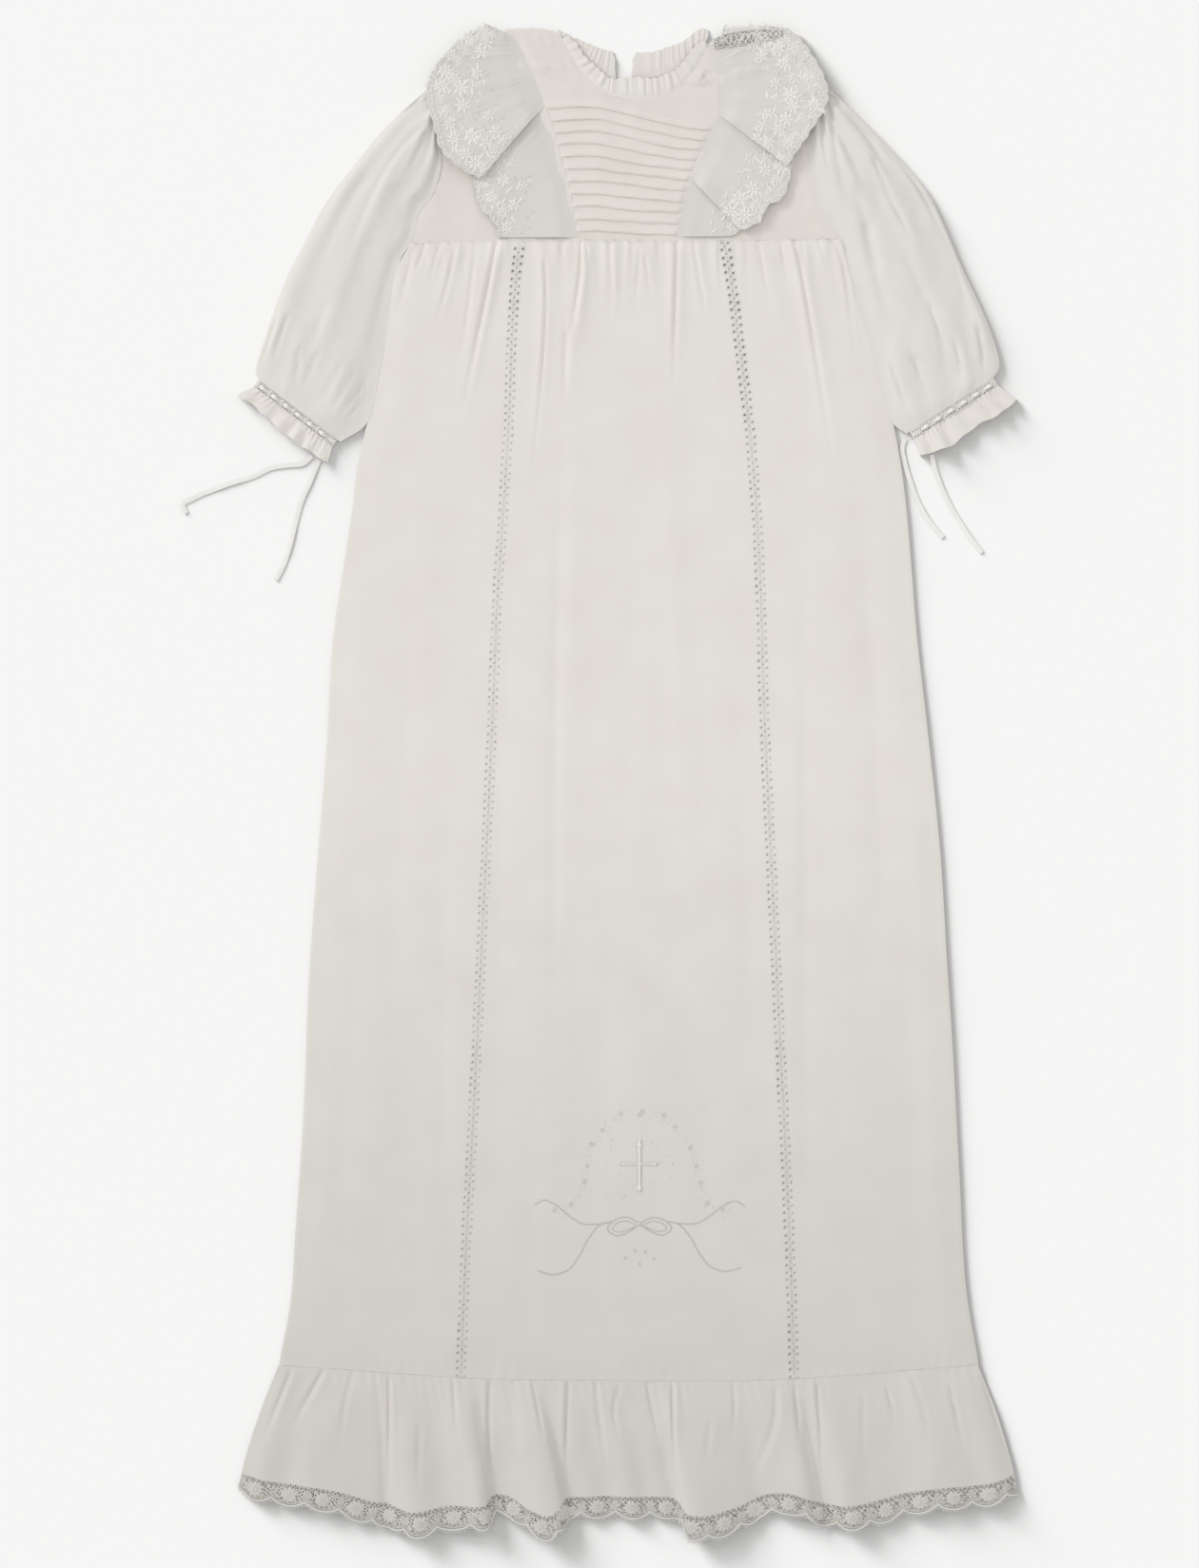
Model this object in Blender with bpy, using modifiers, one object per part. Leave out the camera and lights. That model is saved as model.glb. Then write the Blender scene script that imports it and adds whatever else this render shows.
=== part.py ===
"""Christening gown laid flat on its back, front up.

Each piece that a maker would cut is one closed solid: a wall of cloth worked out from short tables of
sections, seams and folds. The back panels lie flat on the surface, the front panels lie on them, and the
sleeves and cuffs are flattened tubes with open ends.

Frame: +Y towards the neck, +X towards the wearer's left, +Z up from the surface that the gown lies on.
Tables and sizes are in millimetres, and the meshes are made in metres.
"""

import bmesh
import bpy
import numpy as np

MM = 0.001

# Driving dimensions
WALL = 1.0
SEAM_GAP = 0.4
LAYER_GAP = 0.3
BACK_TOP = WALL
FRONT_FOOT = BACK_TOP + LAYER_GAP
INSERTION_WIDTH = 7.0
SKIRT_TOP_Y = 342.0
SKIRT_FOOT_Y = -370.0
SKIRT_ROW_SPREAD = 1.35
SKIRT_LOFT = 0.9
SIDE_FALL = 18.0
HEM_LACE_SHARE = 0.16
HEM_FLARE = 1.35
HEM_RISE = 2.6
SCALLOP_PITCH = 22.0
SCALLOP_DEPTH = 2.2
ARMHOLE_FOOT_Y = 345.0
ARMHOLE_TOP_Y = 438.0
TUCK_HEIGHT = 1.2
TUCK_WIDTH = 4.6
TUCK_HUMP_X = -24.0
TUCK_HUMP_WIDTH = 20.0
TUCK_HUMP_HEIGHT = 1.6
TUCK_FALL_START_X = -30.0
TUCK_FALL_LENGTH = 84.0
CUFF_LENGTH = 62.5
CUFF_BAND_WIDTH = 5.2
CUFF_WAVES = 6
RIBBON_WIDTH = 3.0
SLEEVE_SIDE_TOP = 2.6
BACK_HEM_SEAM_Y = -369.0
BACK_LACE_TOP_Y = -436.0
BACK_LACE_FOOT_Y = -450.0
BACK_HEM_SHARE = 0.975

OFF_WHITE = (0.80, 0.77, 0.71)
LACE_WHITE = (0.83, 0.80, 0.75)
RIBBON_WHITE = (0.88, 0.87, 0.85)


def table(columns, *rows):
    """Rows of numbers as a dictionary of named columns."""
    return dict(zip(columns.split(), np.array(rows, float).T))


# Edge of the body from the shoulder tip down the armhole and the side seam, for each side of the wearer
SIDE = {
    "right": table(
        "y x",
        (439, -122.4), (424, -119.0), (404, -118.8), (389, -118.8), (371, -124.8), (360, -133.0),
        (342, -137.5), (329, -144.6), (311, -149.4), (284, -153.6), (259, -157.8), (229, -164.4),
        (206, -169.8), (170, -174.6), (134, -180.0), (98, -185.4), (26, -190.0), (-46, -195.6),
        (-118, -201.0), (-208, -204.6), (-280, -209.4), (-334, -213.5), (-368, -220.0),
    ),
    "left": table(
        "y x",
        (439, 121.8), (424, 117.6), (410, 113.8), (395, 115.2), (380, 118.2), (364, 122.0),
        (352, 128.4), (340, 135.0), (321, 140.4), (301, 145.8), (283, 151.8), (253, 159.6),
        (230, 166.2), (206, 171.0), (170, 175.8), (134, 178.8), (98, 181.6), (26, 189.6),
        (-46, 197.0), (-118, 201.4), (-172, 205.0), (-244, 208.8), (-334, 215.0), (-367, 221.0),
    ),
}

# Centre line of the insertion lace down each side of the front skirt
INSERTION = {
    "right": table(
        "y x",
        (342, -68.4), (294, -72.6), (232, -75.0), (170, -78.8), (108, -82.8), (38, -85.6),
        (-80, -91.2), (-203, -97.2), (-311, -103.0), (-376, -105.4),
    ),
    "left": table(
        "y x",
        (342, 60.0), (319, 64.6), (281, 69.4), (244, 74.2), (194, 79.2), (145, 82.4),
        (38, 86.0), (-59, 90.6), (-157, 95.4), (-280, 101.4), (-376, 104.8),
    ),
}

YOKE_SEAM = table("x y", (-138, 340.0), (-100, 341.6), (0, 341.6), (70, 342.4), (136, 343.4))
HEM_SEAM = table(
    "x y",
    (-221, -367.4), (-160, -371.6), (-102, -375.4), (0, -377.0), (105, -376.0), (165, -371.6), (222, -366.8),
)

# Seam between the tucked centre of the yoke and its sides, where the flounce is sewn in
FLOUNCE_SEAM = {
    "right": table("y x", (474, -75.0), (440, -60.0), (428, -53.4), (392, -42.0), (374, -37.2), (343, -32.0)),
    "left": table(
        "y x", (470, 55.5), (444, 57.2), (427, 57.0), (413, 53.0), (397, 46.0), (374, 36.6), (343, 31.0)
    ),
}

# Shoulder line and front neck edge, from the wearer's right seam to the left one
YOKE_TOP = table(
    "x y",
    (-75, 473.6), (-52, 473.4), (-43.5, 470.6), (-35, 456.0), (-28, 445.6), (-18.6, 437.4), (-9, 432.8),
    (6, 430.6), (18, 431.0), (28, 434.8), (37.4, 442.4), (45.6, 454.2), (51.4, 465.2), (55.5, 467.6),
)
BACK_NECK = table(
    "x y",
    (-43.5, 470.6), (-35.4, 462.6), (-27, 455.6), (-18, 451.2), (-8.4, 450.0), (-2.6, 450.0), (3, 450.0),
    (14.4, 450.6), (25.8, 452.6), (36, 458.4), (45.6, 465.4),
)
SHOULDER = {
    "right": table("x y", (-121.8, 441.5), (-113, 455.5), (-96, 468.5), (-75.8, 473.6)),
    "left": table("x y", (121.4, 441.5), (115.6, 457), (105, 471.5), (56.3, 468.2)),
}
BACK_SLIT_NECK_HALF = 5.1
BACK_SLIT_CENTRE = -2.7

# Pin tucks of the yoke: the height of each fold's lower edge at its right end, and its fall to the left end
TUCKS = table(
    "y fall",
    (346.0, 0.8), (353.6, 1.6), (361.6, 2.8), (369.6, 4.0), (377.6, 5.4), (385.6, 6.8),
    (393.4, 8.2), (401.2, 9.6), (409.0, 11.0), (416.8, 12.2), (424.6, 13.2),
)

# Gathers and long soft folds of the front skirt, each a ridge from its top to its foot
SKIRT_FOLDS = table(
    "top_x top_y foot_x foot_y bow height width",
    (-121, 334, -126, 312, 0, 1.3, 3.4), (-109, 334, -122, 286, -1, 1.7, 4.2),
    (-96, 330, -105, 266, 1, 1.0, 4.2), (-82, 342, -107, 210, -3, 2.4, 5.2),
    (-52, 334, -62, 168, 2, 1.4, 4.2), (-42, 342, -40, 316, 0, 1.5, 4.6),
    (-28, 342, -39, 236, 2, 2.5, 5.0), (-11, 340, -9, 290, 0, 1.3, 4.0),
    (11, 338, 16, 296, 1, 1.1, 4.0), (31, 342, 29, 236, 1, 2.1, 4.8),
    (42, 342, 52, 276, -1, 1.5, 4.2), (88, 340, 100, 260, 1, 1.1, 4.6),
    (105, 342, 134, 176, 3, 2.3, 5.2), (120, 342, 127, 318, 0, 1.1, 3.4),
    (133, 342, 144, 246, 2, 1.4, 3.8), (-34, 250, -34, -60, 1, 0.8, 9.0),
    (-132, 190, -140, -300, 3, 0.9, 14.0), (132, 210, 146, -290, -3, 0.9, 14.0),
    (26, 230, 44, -110, 2, 0.6, 12.0), (58, 120, 66, -250, -2, 0.5, 12.0),
)

# Sections of each sleeve from its head to its cuff: the outer edge, the inner edge and the fullness
SLEEVE = {
    "right": table(
        "outer_x outer_y inner_x inner_y puff",
        (-124.6, 438.6, -121.2, 423.0, 1.0), (-134.4, 430.2, -120, 403.8, 1.6),
        (-146.4, 419.4, -120, 389.4, 2.4), (-160.8, 403.8, -126, 371.4, 3.2),
        (-175.2, 385.8, -134.4, 360.6, 3.6), (-189.6, 366.6, -138.5, 343.0, 3.6),
        (-202.8, 342.6, -146, 329.4, 3.6), (-216.0, 316.2, -150, 311.4, 3.6),
        (-224.4, 293.4, -154.6, 283.8, 3.4), (-231.0, 273.0, -159, 259.2, 3.0),
        (-234.6, 260.4, -165.6, 229.2, 2.4), (-232.9, 254.2, -183.1, 216.4, 1.8),
    ),
    "left": table(
        "outer_x outer_y inner_x inner_y puff",
        (124.6, 438.0, 119.6, 424.2, 1.0), (134.4, 430.2, 114.8, 409.8, 1.6),
        (147.0, 418.2, 116.2, 394.8, 2.4), (161.4, 403.8, 119.4, 379.8, 3.2),
        (176.4, 387.6, 123.4, 364.2, 3.6), (189.6, 370.8, 129.8, 351.6, 3.6),
        (199.2, 351.0, 136.4, 340.2, 3.6), (208.8, 328.2, 141.6, 321.0, 3.6),
        (218.4, 307.8, 147.2, 300.6, 3.6), (226.8, 288.6, 153.0, 282.6, 3.4),
        (232.2, 273.0, 160.8, 252.6, 3.0), (234.0, 262.2, 167.4, 229.8, 2.4),
        (230.1, 255.0, 177.3, 221.4, 1.8),
    ),
}

# Folds of each sleeve: where each crosses the sleeve at its two ends, and the stretch of sleeve that it runs
SLEEVE_FOLDS = {
    "right": table(
        "head cuff start stop height width",
        (0.52, 0.50, 0.00, 0.86, 2.6, 0.10), (0.10, 0.10, 0.12, 0.92, 1.5, 0.08),
        (0.78, 0.86, 0.02, 0.40, 1.6, 0.07), (0.92, 0.74, 0.70, 1.00, 1.4, 0.07),
        (0.30, 0.28, 0.72, 1.00, 1.3, 0.07), (0.66, 0.66, 0.76, 1.00, 1.2, 0.06),
    ),
    "left": table(
        "head cuff start stop height width",
        (0.02, 0.05, 0.10, 0.92, 1.7, 0.06), (0.18, 0.46, 0.04, 0.62, 2.5, 0.09),
        (0.46, 0.78, 0.04, 0.44, 1.7, 0.08), (0.72, 0.92, 0.02, 0.40, 1.4, 0.07),
        (0.30, 0.30, 0.66, 1.00, 1.7, 0.07), (0.58, 0.56, 0.74, 1.00, 1.2, 0.07),
        (0.80, 0.78, 0.76, 1.00, 1.2, 0.06),
    ),
}

# Cuff frames: the outer end of the band, the direction along it and the one away from the sleeve
CUFF = {
    "right": {"end": (-234.6, 252.0), "along": (0.797, -0.604), "away": (-0.604, -0.797)},
    "left": {"end": (231.6, 252.6), "along": (-0.843, -0.538), "away": (0.538, -0.843)},
}

# Free edge of each cuff frill in its cuff's frame
CUFF_FRILL = {
    "right": table("along away", (-5.0, 12.4), (14, 13.2), (33, 13.8), (52, 14.8), (66.4, 12.2)),
    "left": table("along away", (-5.4, 15.4), (9, 18.0), (31, 17.2), (52, 17.6), (65.0, 14.2)),
}

# Hem ruffle: a row for each fold line, with its place on the seam, its place on the hem and its height there
HEM_FOLDS = table(
    "seam_x hem_x hem_y rise",
    (-220, -245.5, -447.5, 1.9), (-211, -232, -452.5, 4.6), (-200, -217, -455.0, 3.4),
    (-190, -203, -457.0, 5.6), (-176, -184, -460.5, 5.2), (-162, -160, -468.5, 3.4),
    (-157, -151.6, -469.0, 2.0), (-150, -143, -473.0, 5.6), (-142, -133, -475.4, 7.6),
    (-128, -114, -471.0, 4.4), (-118, -102, -470.4, 6.4), (-110, -93, -470.6, 9.0),
    (-104, -88.4, -469.2, 8.0), (-99.5, -86.0, -465.6, 5.0), (-95, -82.6, -462.2, 2.4),
    (-86, -74, -463.4, 3.0), (-75, -60, -473.0, 7.6), (-67, -49, -477.0, 9.4),
    (-61.5, -41.6, -471.6, 8.2), (-58, -39.2, -467.2, 5.2), (-54, -36.4, -464.2, 2.6),
    (-42, -24, -463.6, 3.4), (-30, -12, -463.0, 2.0), (-17, 2, -463.6, 4.0), (-6, 13, -463.6, 2.2),
    (3, 22.0, -463.6, 2.6), (10, 29.6, -464.4, 1.9), (15.5, 33.8, -468.6, 3.4), (20, 36.2, -472.8, 6.0),
    (24.5, 38.8, -476.0, 8.2), (31, 43.6, -476.6, 9.0), (42, 53, -476.4, 8.2), (58, 74, -469.0, 4.6),
    (70, 84, -463.0, 2.4), (82, 100, -460.6, 4.4), (96, 113, -464.4, 6.2),
    (103, 121.6, -467.8, 3.0), (108, 126.6, -468.8, 2.0), (119, 140, -470.4, 7.2),
    (137, 158, -467.0, 4.4), (156, 176, -461.6, 3.6), (176, 199, -457.8, 6.4),
    (196, 220, -456.4, 4.2), (210, 234, -453.6, 5.4), (220.5, 245.5, -448.6, 1.9),
)

# Neck frills: a row for each section, from the neck seam to the free edge
NECK_FRILL = {
    "front": table(
        "seam_x seam_y edge_x edge_y",
        (-40.6, 469.4, -35.6, 471.6), (-33.6, 456.6, -27.6, 458.4), (-27.0, 447.0, -20.6, 452.0),
        (-17.8, 438.6, -14.2, 446.0), (-8.6, 434.0, -8.4, 443.6), (6, 431.8, 5.0, 444.6),
        (17.6, 432.2, 16.6, 444.0), (27.2, 435.8, 24.6, 447.0), (36.4, 443.2, 31.4, 450.8),
        (44.4, 454.6, 38.0, 459.0), (49.8, 465.2, 45.4, 469.6),
    ),
    "back_right": table(
        "seam_x seam_y edge_x edge_y",
        (-42.6, 472.0, -45.6, 476.4), (-34.8, 463.6, -35.6, 470.8), (-26.6, 456.6, -22.6, 465.4),
        (-17.8, 452.2, -15.2, 462.4), (-8.3, 450.8, -8.3, 461.0),
    ),
    "back_left": table(
        "seam_x seam_y edge_x edge_y",
        (2.9, 450.8, 2.6, 460.6), (14.2, 451.4, 14.0, 460.8), (25.4, 453.4, 25.0, 464.0),
        (35.6, 459.4, 34.6, 467.6), (45.0, 466.4, 45.4, 475.4), (49.4, 468.4, 51.8, 474.4),
    ),
}
NECK_FRILL_WAVES = {"front": 22, "back_right": 9, "back_left": 11}

# Flounces: a table for each lobe, with a row for each section from the seam to the free edge and the height
# at both. The last row of a lobe that has another below it is the crest of the fold that laps it over that one.
FLOUNCE_COLUMNS = "seam_x seam_y edge_x edge_y seam_z edge_z"
FLOUNCE = {
    "right": (
        table(
            FLOUNCE_COLUMNS,
            (-75.6, 472.0, -87, 476.6, 3.2, 4.0), (-72.6, 466.0, -105, 468.4, 3.2, 5.2),
            (-68.6, 457.5, -122.5, 449.5, 3.2, 6.2), (-64.0, 447.0, -126.6, 433.5, 3.3, 7.2),
            (-60.4, 440.0, -121.6, 411.0, 3.8, 8.0), (-57.6, 434.0, -117.6, 398.0, 4.8, 8.6),
            (-55.9, 430.0, -105, 386.0, 5.7, 8.8), (-54.2, 424.8, -93.0, 380.0, 6.0, 7.8),
        ),
        table(
            FLOUNCE_COLUMNS,
            (-52.6, 420.6, -96.4, 374.4, 3.2, 4.6), (-49.2, 409.0, -93.4, 362.4, 3.2, 5.2),
            (-43.6, 392.0, -87.4, 356.0, 3.2, 5.0), (-38.6, 374.0, -83.0, 350.0, 3.2, 4.2),
            (-33.4, 343.8, -82.4, 343.8, 3.2, 3.4),
        ),
    ),
    "left": (
        table(
            FLOUNCE_COLUMNS,
            (56.6, 467.4, 60.0, 473.6, 3.2, 4.0), (57.2, 461.0, 78, 475.6, 3.2, 4.6),
            (57.8, 454.6, 100, 474.8, 3.2, 5.4), (58.4, 447.6, 113.6, 461.6, 3.2, 6.2),
            (58.8, 440.0, 123.8, 443.0, 3.6, 7.2), (59.0, 432.0, 125.0, 427.6, 4.6, 8.0),
            (58.9, 425.8, 113.0, 407.0, 5.5, 8.4), (58.4, 420.0, 100.0, 387.8, 6.0, 7.6),
        ),
        table(
            FLOUNCE_COLUMNS,
            (55.6, 413.4, 101.6, 378.8, 3.2, 4.6), (50.0, 402.0, 97.2, 368.0, 3.4, 5.4),
            (45.6, 393.0, 88.0, 363.0, 4.4, 6.0), (42.9, 386.0, 82.6, 353.0, 5.5, 6.6),
            (40.6, 379.6, 70.6, 347.4, 6.0, 6.4),
        ),
        table(
            FLOUNCE_COLUMNS,
            (38.6, 370.0, 67.6, 346.0, 3.2, 3.5), (32.4, 344.2, 63.0, 344.4, 3.2, 3.4),
        ),
    ),
}
FLOUNCE_LAYER = 1.4

# How far each fold of a flounce reaches back under it, at the seam and at the free edge
FLOUNCE_LAPS = {"right": ((3.0, 8.0),), "left": ((3.0, 8.0), (2.4, 4.0))}

# Free ends of the ribbon in the cuffs, from the cuff to the cut end, on the surface
RIBBON_ROUTES = {
    "ribbon_tie_1": (
        (-199.2, 206.2), (-204.6, 201.6), (-214, 200.4), (-225, 198.6), (-236, 193.4), (-248, 189.8),
        (-261, 185.2), (-274, 179.6), (-280.6, 175.4), (-278.6, 170.2),
    ),
    "ribbon_tie_2": (
        (-194.6, 203.8), (-197.4, 197.4), (-200.8, 189), (-205.4, 179), (-209.4, 165), (-213.4, 149),
        (-217, 138), (-222, 127.8),
    ),
    "ribbon_tie_3": (
        (174.9, 217.2), (172.9, 212), (174.2, 203), (178.4, 189), (183.8, 175.4), (190.4, 164.2),
        (198.6, 154.8),
    ),
    "ribbon_tie_4": (
        (191.5, 207.0), (193.2, 199.4), (196.0, 190.6), (200.6, 180), (208, 166.6), (216.4, 153.8),
        (223.2, 145.2),
    ),
}


def ease(t):
    """A smooth step from 0 to 1."""
    t = np.clip(t, 0, 1)
    return t * t * (3 - 2 * t)


def through(at, keys, values):
    """A smooth curve through the values at the keys, read at the places given."""
    if keys[0] > keys[-1]:
        keys, values = keys[::-1], values[::-1]
    slopes = np.gradient(values, keys)
    at = np.clip(at, keys[0], keys[-1])
    i = np.clip(np.searchsorted(keys, at, side="right") - 1, 0, len(keys) - 2)
    step = keys[i + 1] - keys[i]
    t = (at - keys[i]) / step
    rise = (values[i + 1] - values[i]) * ease(t)
    return values[i] + rise + step * t * (1 - t) * ((1 - t) * slopes[i] - t * slopes[i + 1])


def refined(rows, steps):
    """A table read at this many steps between its rows, with a smooth curve through each column."""
    keys = np.arange(len(next(iter(rows.values()))), dtype=float)
    at = np.linspace(0, keys[-1], int(keys[-1]) * steps + 1)
    return {name: through(at, keys, column) for name, column in rows.items()}


def mix(a, b, t):
    return a + (b - a) * t


def side_x(side, y):
    return through(y, SIDE[side]["y"], SIDE[side]["x"])


def flounce_seam_x(side, y):
    return through(y, FLOUNCE_SEAM[side]["y"], FLOUNCE_SEAM[side]["x"])


def yoke_seam_y(x):
    return through(x, YOKE_SEAM["x"], YOKE_SEAM["y"])


def hem_seam_y(x):
    return through(x, HEM_SEAM["x"], HEM_SEAM["y"])


def stacked(*columns):
    """Columns of numbers as an array of points."""
    return np.stack(np.broadcast_arrays(*columns), -1)


def material(name, colour, roughness=0.85):
    made = bpy.data.materials.new(name)
    made.use_nodes = True
    shader = made.node_tree.nodes["Principled BSDF"]
    shader.inputs["Base Color"].default_value = (*colour, 1)
    shader.inputs["Roughness"].default_value = roughness
    shader.inputs["Metallic"].default_value = 0
    return made


def grid_quads(rows, columns, ring=False):
    """The quads between neighbouring points of a grid that is numbered row by row."""
    number = np.arange(rows * columns).reshape(rows, columns)
    if ring:
        number = np.hstack([number, number[:, :1]])
    corners = number[:-1, :-1], number[:-1, 1:], number[1:, 1:], number[1:, :-1]
    return np.stack(corners, -1).reshape(-1, 4)


def add_object(name, points, faces, colour):
    """A mesh object from points in millimetres, with its faces turned outwards."""
    mesh = bpy.data.meshes.new(name)
    mesh.from_pydata((points * MM).tolist(), [], faces.tolist())
    work = bmesh.new()
    work.from_mesh(mesh)
    bmesh.ops.recalc_face_normals(work, faces=work.faces)
    work.to_mesh(mesh)
    work.free()
    mesh.materials.append(material(name, colour))
    made = bpy.data.objects.new(name, mesh)
    bpy.data.collections["christening_gown"].objects.link(made)
    return made


def add_wall(name, outer, inner, colour, ring=False):
    """A wall lofted between two grids of the same size, with its open edges closed by rims."""
    rows, columns = outer.shape[:2]
    quads = grid_quads(rows, columns, ring)
    shift = rows * columns
    edges = np.concatenate([quads[:, [0, 1]], quads[:, [1, 2]], quads[:, [2, 3]], quads[:, [3, 0]]])
    key = edges[:, 0] * shift + edges[:, 1]
    back_key = edges[:, 1] * shift + edges[:, 0]
    rim = edges[~np.isin(back_key, key)]
    rims = np.stack([rim[:, 1], rim[:, 0], rim[:, 0] + shift, rim[:, 1] + shift], -1)
    points = np.concatenate([outer.reshape(-1, 3), inner.reshape(-1, 3)])
    return add_object(name, points, np.concatenate([quads, quads[:, ::-1] + shift, rims]), colour)


def add_sheet(name, grid, colour, thickness=WALL):
    """A sheet through the middle of its cloth, given its wall by a Solidify modifier."""
    made = add_object(name, grid.reshape(-1, 3), grid_quads(*grid.shape[:2]), colour)
    solid = made.modifiers.new("Wall", "SOLIDIFY")
    solid.thickness = thickness * MM
    solid.offset = 0
    return made


def add_plate(name, outline, colour, foot=0.0, thickness=WALL):
    """A flat panel cut to an outline: a filled 2D curve with its thickness as an extrusion."""
    curve = bpy.data.curves.new(name, "CURVE")
    curve.dimensions = "2D"
    curve.fill_mode = "BOTH"
    curve.extrude = thickness / 2 * MM
    spline = curve.splines.new("POLY")
    spline.points.add(len(outline) - 1)
    for point, (x, y) in zip(spline.points, outline):
        point.co = (x * MM, y * MM, 0, 1)
    spline.use_cyclic_u = True
    curve.materials.append(material(name, colour))
    made = bpy.data.objects.new(name, curve)
    made.location.z = (foot + thickness / 2) * MM
    bpy.data.collections["christening_gown"].objects.link(made)
    return made


def add_cord(name, route, colour):
    """A tube of the ribbon's width along a smooth curve through the route, lying on the surface."""
    route = np.array(route)
    length = np.concatenate([[0], np.cumsum(np.hypot(*np.diff(route, axis=0).T))])
    count = int(length[-1] / (2.4 * RIBBON_WIDTH)) + 2
    at = np.linspace(0, length[-1], count)
    curve = bpy.data.curves.new(name, "CURVE")
    curve.dimensions = "3D"
    curve.bevel_depth = RIBBON_WIDTH / 2 * MM
    curve.bevel_resolution = 2
    curve.use_fill_caps = True
    spline = curve.splines.new("POLY")
    spline.points.add(count - 1)
    for point, x, y in zip(spline.points, through(at, length, route[:, 0]), through(at, length, route[:, 1])):
        point.co = (x * MM, y * MM, RIBBON_WIDTH / 2 * MM, 1)
    curve.materials.append(material(name, colour))
    made = bpy.data.objects.new(name, curve)
    bpy.data.collections["christening_gown"].objects.link(made)
    return made


def skirt_relief(x, y):
    """Height that the gathers and long folds of the front skirt add to its outer face."""
    total = np.zeros(np.broadcast(x, y).shape)
    for top_x, top_y, foot_x, foot_y, bow, height, width in zip(*SKIRT_FOLDS.values()):
        along = (top_y - y) / (top_y - foot_y)
        centre = mix(top_x, foot_x, along) + 4 * bow * along * (1 - along)
        fade = ease((along + 0.12) / 0.12) * (1 - ease(along))
        total += height * fade * np.exp(-(((x - centre) / width) ** 2))
    return total


def skirt_line(number, y):
    """The lines that divide the front skirt, numbered from the right side seam to the left one."""
    half = INSERTION_WIDTH / 2
    if number in (0, 5):
        return side_x("right" if number == 0 else "left", y)
    strip = INSERTION["right" if number < 3 else "left"]
    return through(y, strip["y"], strip["x"]) + (-half if number in (1, 3) else half)


def skirt_panel(name, number, columns, rows, colour):
    """One panel of the front skirt, from the yoke seam to the hem seam, between two lines."""
    v = np.linspace(0, 1, rows)[:, None] ** SKIRT_ROW_SPREAD
    t = np.linspace(0, 1, columns)[None, :]
    level = mix(SKIRT_TOP_Y, SKIRT_FOOT_Y, v)
    inset = SEAM_GAP / 2
    low = skirt_line(number, level) + (0 if number == 0 else inset)
    high = skirt_line(number + 1, level) - (0 if number == 4 else inset)
    x = mix(low, high, t)
    y = mix(yoke_seam_y(x[0]) - inset, hem_seam_y(x[-1]) + inset, v)
    reach = np.minimum(x - skirt_line(0, level), skirt_line(5, level) - x)
    foot = FRONT_FOOT + SKIRT_LOFT * ease(reach / SIDE_FALL)
    body = stacked(x, y, foot)
    face = stacked(x, y, foot + WALL + skirt_relief(x, y))
    return add_wall(name, face, body, colour)


def tuck_bow(x, fall):
    """How a tuck line departs from straight: a low hump on the right, then a fall to the left end."""
    hump = TUCK_HUMP_HEIGHT * np.exp(-(((x - TUCK_HUMP_X) / TUCK_HUMP_WIDTH) ** 2))
    return hump - fall * ease((x - TUCK_FALL_START_X) / TUCK_FALL_LENGTH)


def yoke_centre():
    """The tucked centre of the front yoke, with a row of points along each side of every fold.

    The first row has no level of its own: it follows the yoke seam.
    """
    t = np.linspace(0, 1, 10)
    lines = [(None, 0.0, 0.0)]
    for y, fall in zip(*TUCKS.values()):
        lines += [(y - 0.2, fall, 0.0), (y + 0.2, fall, TUCK_HEIGHT), (y + TUCK_WIDTH, fall, 0.3)]
    rows = []
    for level, fall, height in lines:
        x = mix(FLOUNCE_SEAM["right"]["x"][-1], FLOUNCE_SEAM["left"]["x"][-1], t)
        for _ in range(3):
            y = yoke_seam_y(x) + SEAM_GAP / 2 if level is None else level + tuck_bow(x, fall)
            x = mix(flounce_seam_x("right", y[0]), flounce_seam_x("left", y[-1]), t)
        fade = ease(np.minimum(t, 1 - t) / 0.04 + 0.35)
        rows.append(stacked(x, y, FRONT_FOOT + WALL + height * fade))
    top_x = mix(YOKE_TOP["x"][0], YOKE_TOP["x"][-1], t)
    top = stacked(top_x, through(top_x, YOKE_TOP["x"], YOKE_TOP["y"]), FRONT_FOOT + WALL)
    last = rows[-1]
    for share in (0.25, 0.5, 0.75, 1.0):
        row = mix(last, top, share)
        for end, side in ((0, "right"), (-1, "left")):
            row[end, 0] = flounce_seam_x(side, row[end, 1])
        rows.append(row)
    face = np.array(rows)
    body = face.copy()
    body[..., 2] = FRONT_FOOT
    return add_wall("yoke_centre", face, body, OFF_WHITE)


def yoke_foot(start_x, end_x):
    """Points along the lower edge of the yoke, just above its seam."""
    x = np.linspace(start_x, end_x, 6)
    return stacked(x, yoke_seam_y(x) + SEAM_GAP / 2)


def yoke_side(side):
    """The plain side of the front yoke, between the flounce seam and the armhole."""
    sign = -1 if side == "right" else 1
    seam = FLOUNCE_SEAM[side]
    y_seam = np.linspace(seam["y"][0] - 1.2, seam["y"][-1], 12)
    inner = stacked(flounce_seam_x(side, y_seam) + sign * 1.5 * SEAM_GAP, y_seam)
    foot = yoke_foot(inner[-1, 0], side_x(side, ARMHOLE_FOOT_Y - 2))
    inner[-1, 1] = foot[0, 1]
    y_side = np.linspace(ARMHOLE_FOOT_Y, ARMHOLE_TOP_Y, 12)
    armhole = stacked(side_x(side, y_side), y_side)
    shoulder = stacked(SHOULDER[side]["x"], SHOULDER[side]["y"])
    outline = np.concatenate([inner, foot[1:], armhole, shoulder])
    return add_plate(f"yoke_side_{side}", outline, OFF_WHITE, FRONT_FOOT)


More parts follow.
